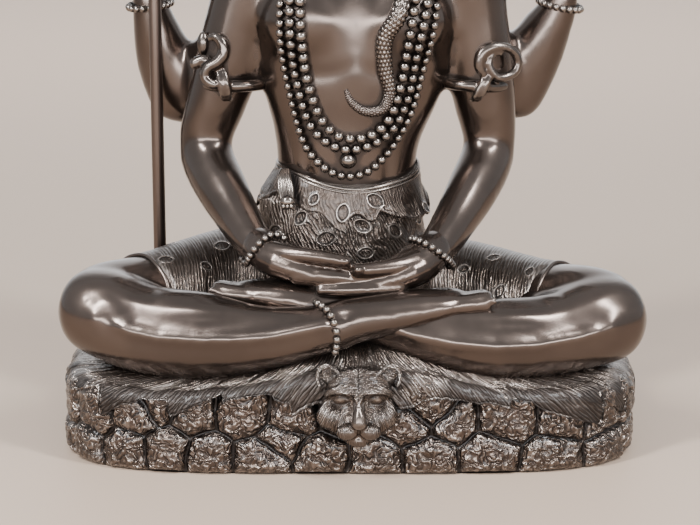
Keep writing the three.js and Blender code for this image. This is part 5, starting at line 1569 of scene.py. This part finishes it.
def combNode(tree, flow, stroke):
    node = tree.nodes.new("ShaderNodeTexWave")
    node.bands_direction = "Y"
    values = {"Vector": flow, "Scale": 0.314 / stroke, "Distortion": 7, "Detail": 2, "Detail Scale": 1.3,
              "Detail Roughness": 0.6}
    for name, value in values.items():
        feed(tree, node.inputs[name], value)
    return node.outputs["Fac"]


# Metallic paint over cast resin, darker in recesses, between parts and on undersides by patina and painted
# shade, and paler on proud ridges by painted highlight and rubbed wear.
# The relief is "plain", "fur" (combed strokes along the flow attribute) or "pitted" (rough stone).
def bronze(name, look):
    material, tree, shader = materialOf(name)

    def plus(first, second):
        return mathNode(tree, "ADD", first, second)

    def minus(first, second):
        return mathNode(tree, "SUBTRACT", first, second)

    def times(first, second):
        return mathNode(tree, "MULTIPLY", first, second)

    def most(first, second):
        return mathNode(tree, "MAXIMUM", first, second)

    def size(value):
        return mathNode(tree, "ABSOLUTE", value)

    place = tree.nodes.new("ShaderNodeTexCoord").outputs["Object"]
    # Patina and painted shade in recesses, between parts and on undersides
    patinaAndShade = rangeNode(tree, attributeNode(tree, "patinaAndShade"), 0.25, 1)
    patches = noiseNode(tree, place, 45, 4)
    tone = mixNode(tree, rangeNode(tree, patches, 0.35, 0.65), look["light"],
                   [channel * 0.8 for channel in look["light"]])
    # Paler on proud edges: painted highlight and rubbed wear
    tone = mixNode(tree, times(attributeNode(tree, "rubbedAndHighlit"), look["highlightAndRub"]), tone, look["pale"])
    grooves = patinaAndShade
    normal = None
    if look["relief"] == "fur":
        flow = attributeNode(tree, "flow", "Vector")
        tufts = noiseNode(tree, flow, 1.1, 3, 0.65, 0.6)
        height = plus(times(combNode(tree, flow, look["stroke"]), 0.38), times(tufts, 0.85))
        # The fine line round each spot, with a painted highlight on it, and the painted shade of the darker
        # patch within it
        gapTo = minus(attributeNode(tree, "ring"), rosette["reach"])
        line = rangeNode(tree, size(gapTo), 0.26, 0.08)
        beside = rangeNode(tree, size(plus(gapTo, 0.38)), 0.26, 0.1)
        furry = times(minus(1.0, attributeNode(tree, "bare")), minus(1.0, most(line, beside)))
        height = plus(times(height, furry), times(line, 1.3))
        normal = bumpNode(tree, height, look["depth"])
        # Painted shade and patina in the grooves of the fur's bump
        low = times(rangeNode(tree, height, look["cut"], look["cut"] - 0.28), furry)
        grooves = most(patinaAndShade, most(times(low, 0.9), times(beside, 0.9)))
        # Painted highlight on the crests of the fur's bump and on the spots' lines
        high = rangeNode(tree, height, look["cut"] + 0.12, look["cut"] + 0.4)
        tone = mixNode(tree, times(most(high, line), 0.65), tone, look["pale"])
    if look["relief"] == "pitted":
        joint = attributeNode(tree, "joint")
        coarse = noiseNode(tree, place, 440, 1, 0.5, 1)
        worms = times(times(size(minus(coarse, 0.5)), 5.5), minus(1.0, joint))
        normal = bumpNode(tree, worms, look["depth"])
        # Painted shade in the pits of the stone's bump, with the dark joints
        low = rangeNode(tree, worms, 0.3, 0.05)
        grooves = most(most(patinaAndShade, times(low, 0.6)), joint)
        # Painted highlight on the crests of the stone's bump
        high = rangeNode(tree, worms, 0.6, 1.1)
        tone = mixNode(tree, times(high, 0.3), tone, look["pale"])
    # The dark colour: patina, painted shade and the dark joints
    colour = mixNode(tree, times(grooves, look["shadeAndWash"]), tone, look["dark"])
    tree.links.new(colour, shader.inputs["Base Color"])
    smudges = noiseNode(tree, place, 110, 3)
    rough = rangeNode(tree, smudges, 0.3, 0.7, look["rough"] - 0.03, look["rough"] + 0.05)
    tree.links.new(plus(rough, times(grooves, 0.2)), shader.inputs["Roughness"])
    fine = noiseNode(tree, place, 1400, 2, 0.6)
    tree.links.new(bumpNode(tree, fine, 0.012, 0.5, normal), shader.inputs["Normal"])
    shader.inputs["Metallic"].default_value = look["metal"]
    shader.inputs["Coat Weight"].default_value = look["coat"]
    shader.inputs["Coat Roughness"].default_value = 0.2
    return material


# Colours of the paint, of rubbed ridges with painted highlights, and of the patina with painted shade, and
# how strong each is
commonLook = {"metal": 0.95, "coat": 0.2, "relief": "plain", "highlightAndRub": 0.5, "stroke": 0.8}
looks = {
    "skin": {"light": (0.1, 0.074, 0.061), "pale": (0.22, 0.175, 0.15), "dark": (0.02, 0.015, 0.013),
             "highlightAndRub": 0.18, "shadeAndWash": 0.7, "rough": 0.21, "coat": 0.25},
    "bead": {"light": (0.095, 0.073, 0.061), "pale": (0.28, 0.24, 0.21), "dark": (0.012, 0.009, 0.008),
             "shadeAndWash": 0.8, "rough": 0.2, "coat": 0.3},
    "fur": {"light": (0.088, 0.066, 0.054), "pale": (0.42, 0.36, 0.32), "dark": (0.014, 0.011, 0.01),
            "shadeAndWash": 0.9, "rough": 0.26, "relief": "fur", "depth": 0.42, "cut": 0.5},
    "pelt": {"light": (0.125, 0.097, 0.081), "pale": (0.52, 0.46, 0.42), "dark": (0.016, 0.012, 0.011),
             "highlightAndRub": 0.6, "shadeAndWash": 0.8, "rough": 0.24, "relief": "fur", "depth": 0.5, "cut": 0.46},
    "stone": {"light": (0.085, 0.062, 0.05), "pale": (0.36, 0.3, 0.26), "dark": (0.01, 0.008, 0.008),
              "shadeAndWash": 0.95, "rough": 0.2, "coat": 0.3, "relief": "pitted", "depth": 0.4},
    "hair": {"light": (0.125, 0.094, 0.078), "pale": (0.36, 0.31, 0.28), "dark": (0.014, 0.011, 0.01),
             "highlightAndRub": 0.6, "shadeAndWash": 0.95, "rough": 0.26},
    "rod": {"light": (0.06, 0.038, 0.03), "pale": (0.15, 0.11, 0.09), "dark": (0.015, 0.011, 0.01),
            "shadeAndWash": 0.8, "rough": 0.32, "metal": 0.9},
}
finish = {name: bronze(name + "_bronze", commonLook | look) for name, look in looks.items()}

# Painted shade and patina: grid cell, how far a surface casts painted shade on others, and how far outside a
# point it is felt
shadeAndWash = {
    "cell": 0.9, "spread": 1.3, "reach": 1.4, "low": (-75.0, -58, -6), "room": (150.0, 112, 212),
    "crowded": (2.0, 3.4), "sunk": (0.02, 0.16), "proud": (0.02, 0.14), "underside": 0.55,
}


# Paints shade and patina into the colour: how crowded the space is just outside each point, and how deep or
# proud the point lies in its own piece.
def paintShadePatinaAndWear():
    cell, spread, reach = shadeAndWash["cell"], shadeAndWash["spread"], shadeAndWash["reach"]
    low = np.array(shadeAndWash["low"])
    size = (np.array(shadeAndWash["room"]) / cell).astype(int)
    crowd = np.zeros(size.prod(), np.float32)
    for piece, material, node in pieces:
        if node != figureNode:
            continue
        mesh = piece.data
        centres = np.empty(len(mesh.polygons) * 3, np.float32)
        areas = np.empty(len(mesh.polygons), np.float32)
        mesh.polygons.foreach_get("center", centres)
        mesh.polygons.foreach_get("area", areas)
        spot = np.clip(((centres.reshape(-1, 3) - low) / cell).astype(int), 0, size - 1)
        crowd += np.bincount(np.ravel_multi_index(spot.T, size), areas, len(crowd)).astype(np.float32)
    crowd = crowd.reshape(size) / cell ** 3
    taps = np.arange(-4, 5) * cell
    weights = np.exp(-taps ** 2 / (2 * spread ** 2))
    weights /= weights.sum()
    for axis in range(3):
        crowd = sum(weight * np.roll(crowd, shift, axis) for weight, shift in zip(weights, range(-4, 5)))
    flat = math.exp(-reach ** 2 / (2 * spread ** 2)) / (spread * math.sqrt(2 * math.pi))
    for piece, material, node in pieces:
        mesh = piece.data
        points, normals = pointsOf(mesh), normalsOf(mesh)
        place = (points + normals * reach - low) / cell - 0.5
        corner = np.clip(np.floor(place).astype(int), 0, size - 2)
        part = np.clip(place - corner, 0, 1)
        value = np.zeros(len(points))
        for step in np.ndindex(2, 2, 2):
            share = np.prod(np.where(step, part, 1 - part), axis=1)
            value += share * crowd[tuple((corner + step).T)]
        # Painted shade where the space just outside is crowded: between parts, under them and in deep folds
        crowded = smoothstep(*shadeAndWash["crowded"], value / flat)
        # Patina and painted shade in the hollows of each piece
        smooth = relaxed(points, edgesOf(mesh), 5, keepSize=False)
        sunk = ((smooth - points) * normals).sum(axis=1)
        patinaAndShade = np.maximum(crowded, smoothstep(*shadeAndWash["sunk"], sunk))
        # Painted shade on the skin's undersides, darker the more they face down
        if material == "skin":
            patinaAndShade = np.maximum(patinaAndShade, shadeAndWash["underside"] * smoothstep(0.25, 0.95, -normals[:, 2]))
        keepValues(piece, "patinaAndShade", patinaAndShade)
        # Painted highlight and rubbed wear on proud points, less where the space is crowded
        keepValues(piece, "rubbedAndHighlit", smoothstep(*shadeAndWash["proud"], -sunk) * (1 - crowded))


def keepValues(piece, name, values):
    piece.data.attributes.new(name, "FLOAT", "POINT").data.foreach_set("value", values.astype(np.float32))


# Keeps the lie of the fur on a piece: along the strokes, across them, and where it is bare.
def keepFlow(piece, along, across, bare):
    flow = np.column_stack([along, across, np.zeros(len(along))]).astype(np.float32)
    piece.data.attributes.new("flow", "FLOAT_VECTOR", "POINT").data.foreach_set("vector", flow.ravel())
    keepValues(piece, "bare", bare)


# Scene

# Sizes in metres. A lamp has its place, what it points at, its size, its power and its colour.
studio = {
    "floor": (0.4, 0.3, 0.23),
    "wall": (0.74, 0.76, 0.78),
    "sky": ((0.9, 0.95, 1), 0.85),
    "lamps": {
        "window_left": ((-0.42, -0.42, 0.6), (0, 0, 0.06), (0.09, 0.42), 10, (0.95, 0.98, 1)),
        "window_front": ((0, -0.95, 0.22), (0, 0, 0.08), (1.7, 0.15), 15, (0.96, 0.98, 1)),
        "window_right": ((0.42, -0.36, 0.6), (0, 0, 0.06), (0.08, 0.4), 8, (0.95, 0.98, 1)),
        "wall_glow": ((0, 0.6, 0.9), (0, 1.6, 0.4), (1.6, 0.6), 24, (1, 1, 1)),
    },
}


def makeStage():
    upright = Matrix.Translation((0, 1.6, 0)) @ Matrix.Rotation(math.pi / 2, 4, "X")
    for name, place, colour in (("floor", Matrix(), studio["floor"]), ("backdrop", upright, studio["wall"])):
        bm = bmesh.new()
        bmesh.ops.create_grid(bm, x_segments=1, y_segments=1, size=3, matrix=place)
        piece = pieceOf(name, bm)
        material, _, shader = materialOf("pale_" + name)
        shader.inputs["Base Color"].default_value = (*colour, 1)
        shader.inputs["Roughness"].default_value = 0.6
        piece.data.materials.append(material)
    world = bpy.data.worlds.new("studio")
    bpy.context.scene.world = world
    world.use_nodes = True
    colour, strength = studio["sky"]
    world.node_tree.nodes["Background"].inputs["Color"].default_value = (*colour, 1)
    world.node_tree.nodes["Background"].inputs["Strength"].default_value = strength


def makeLight(name, place, target, size, power, colour):
    light = bpy.data.lights.new(name, "AREA")
    light.shape = "RECTANGLE"
    light.size, light.size_y = size
    light.energy = power
    light.color = colour
    lamp = bpy.data.objects.new(name, light)
    lamp.location = place
    lamp.rotation_euler = (Vector(target) - Vector(place)).to_track_quat("-Z", "Y").to_euler()
    bpy.context.scene.collection.objects.link(lamp)


def makeCamera():
    lens = bpy.data.cameras.new("photo_camera")
    lens.lens = camera["lens"]
    lens.clip_start = 0.01
    eye = bpy.data.objects.new("photo_camera", lens)
    eye.location = [value / 1000 for value in camera["place"]]
    eye.rotation_euler = (math.radians(90 - camera["down"]), 0, 0)
    bpy.context.scene.collection.objects.link(eye)
    bpy.context.scene.camera = eye


makeCamera()
makeStage()
for name, lamp in studio["lamps"].items():
    makeLight(name, *lamp)
print("stage made")

torso = keep(makeBody(), "skin")
print("body made")
lapHands = keep(makeLapHands(), "skin")
keep(makeRearHands(), "skin")
nearLeg = keep(makeLeg("near_leg", nearThigh, nearShin, nearFoot), "skin")
farLeg = keep(makeLeg("far_leg", farThigh, farShin, farFoot), "skin")
print("legs made")
keep(makeThighCloth(), "fur")
keep(makeHems(), "skin")
keep(waistNet("waist_cloth", waist["under"], 250, 56, 71), "fur")
keep(waistNet("waist_fur", waist["over"], 340, 56, 81, upperHem), "fur")
keep(makeWaistRim(), "bead")
print("cloth made")
keep(makeSkin([treeOf(nearLeg), treeOf(farLeg)]), "pelt")
keep(makeStones(), "stone")
keep(makeAnimalHead(), "pelt")
print("base made")
keep(makeHead(), "skin")
keep(makeHair(), "hair")
keep(makeEarrings(), "bead")
keep(makeCrescent(), "bead")
chest = treeOf(torso)
keep(makeNecklaces(chest), "bead")
keep(makeSnake(chest), "bead")
keep(makeArmlets(), "bead")
keep(makeBracelets([treeOf(lapHands), chest], treeOf(nearLeg)), "bead")
keep(makeTrident(), "rod", tridentNode)
print("ornaments made")

paintShadePatinaAndWear()
print("wash painted")

for piece, material, node in pieces:
    piece.data.transform(Matrix.Scale(0.001, 4))
    piece.data.materials.clear()
    piece.data.materials.append(finish[material])
    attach(piece, "root")
    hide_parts(node)
    print(piece.name, len(piece.data.polygons))
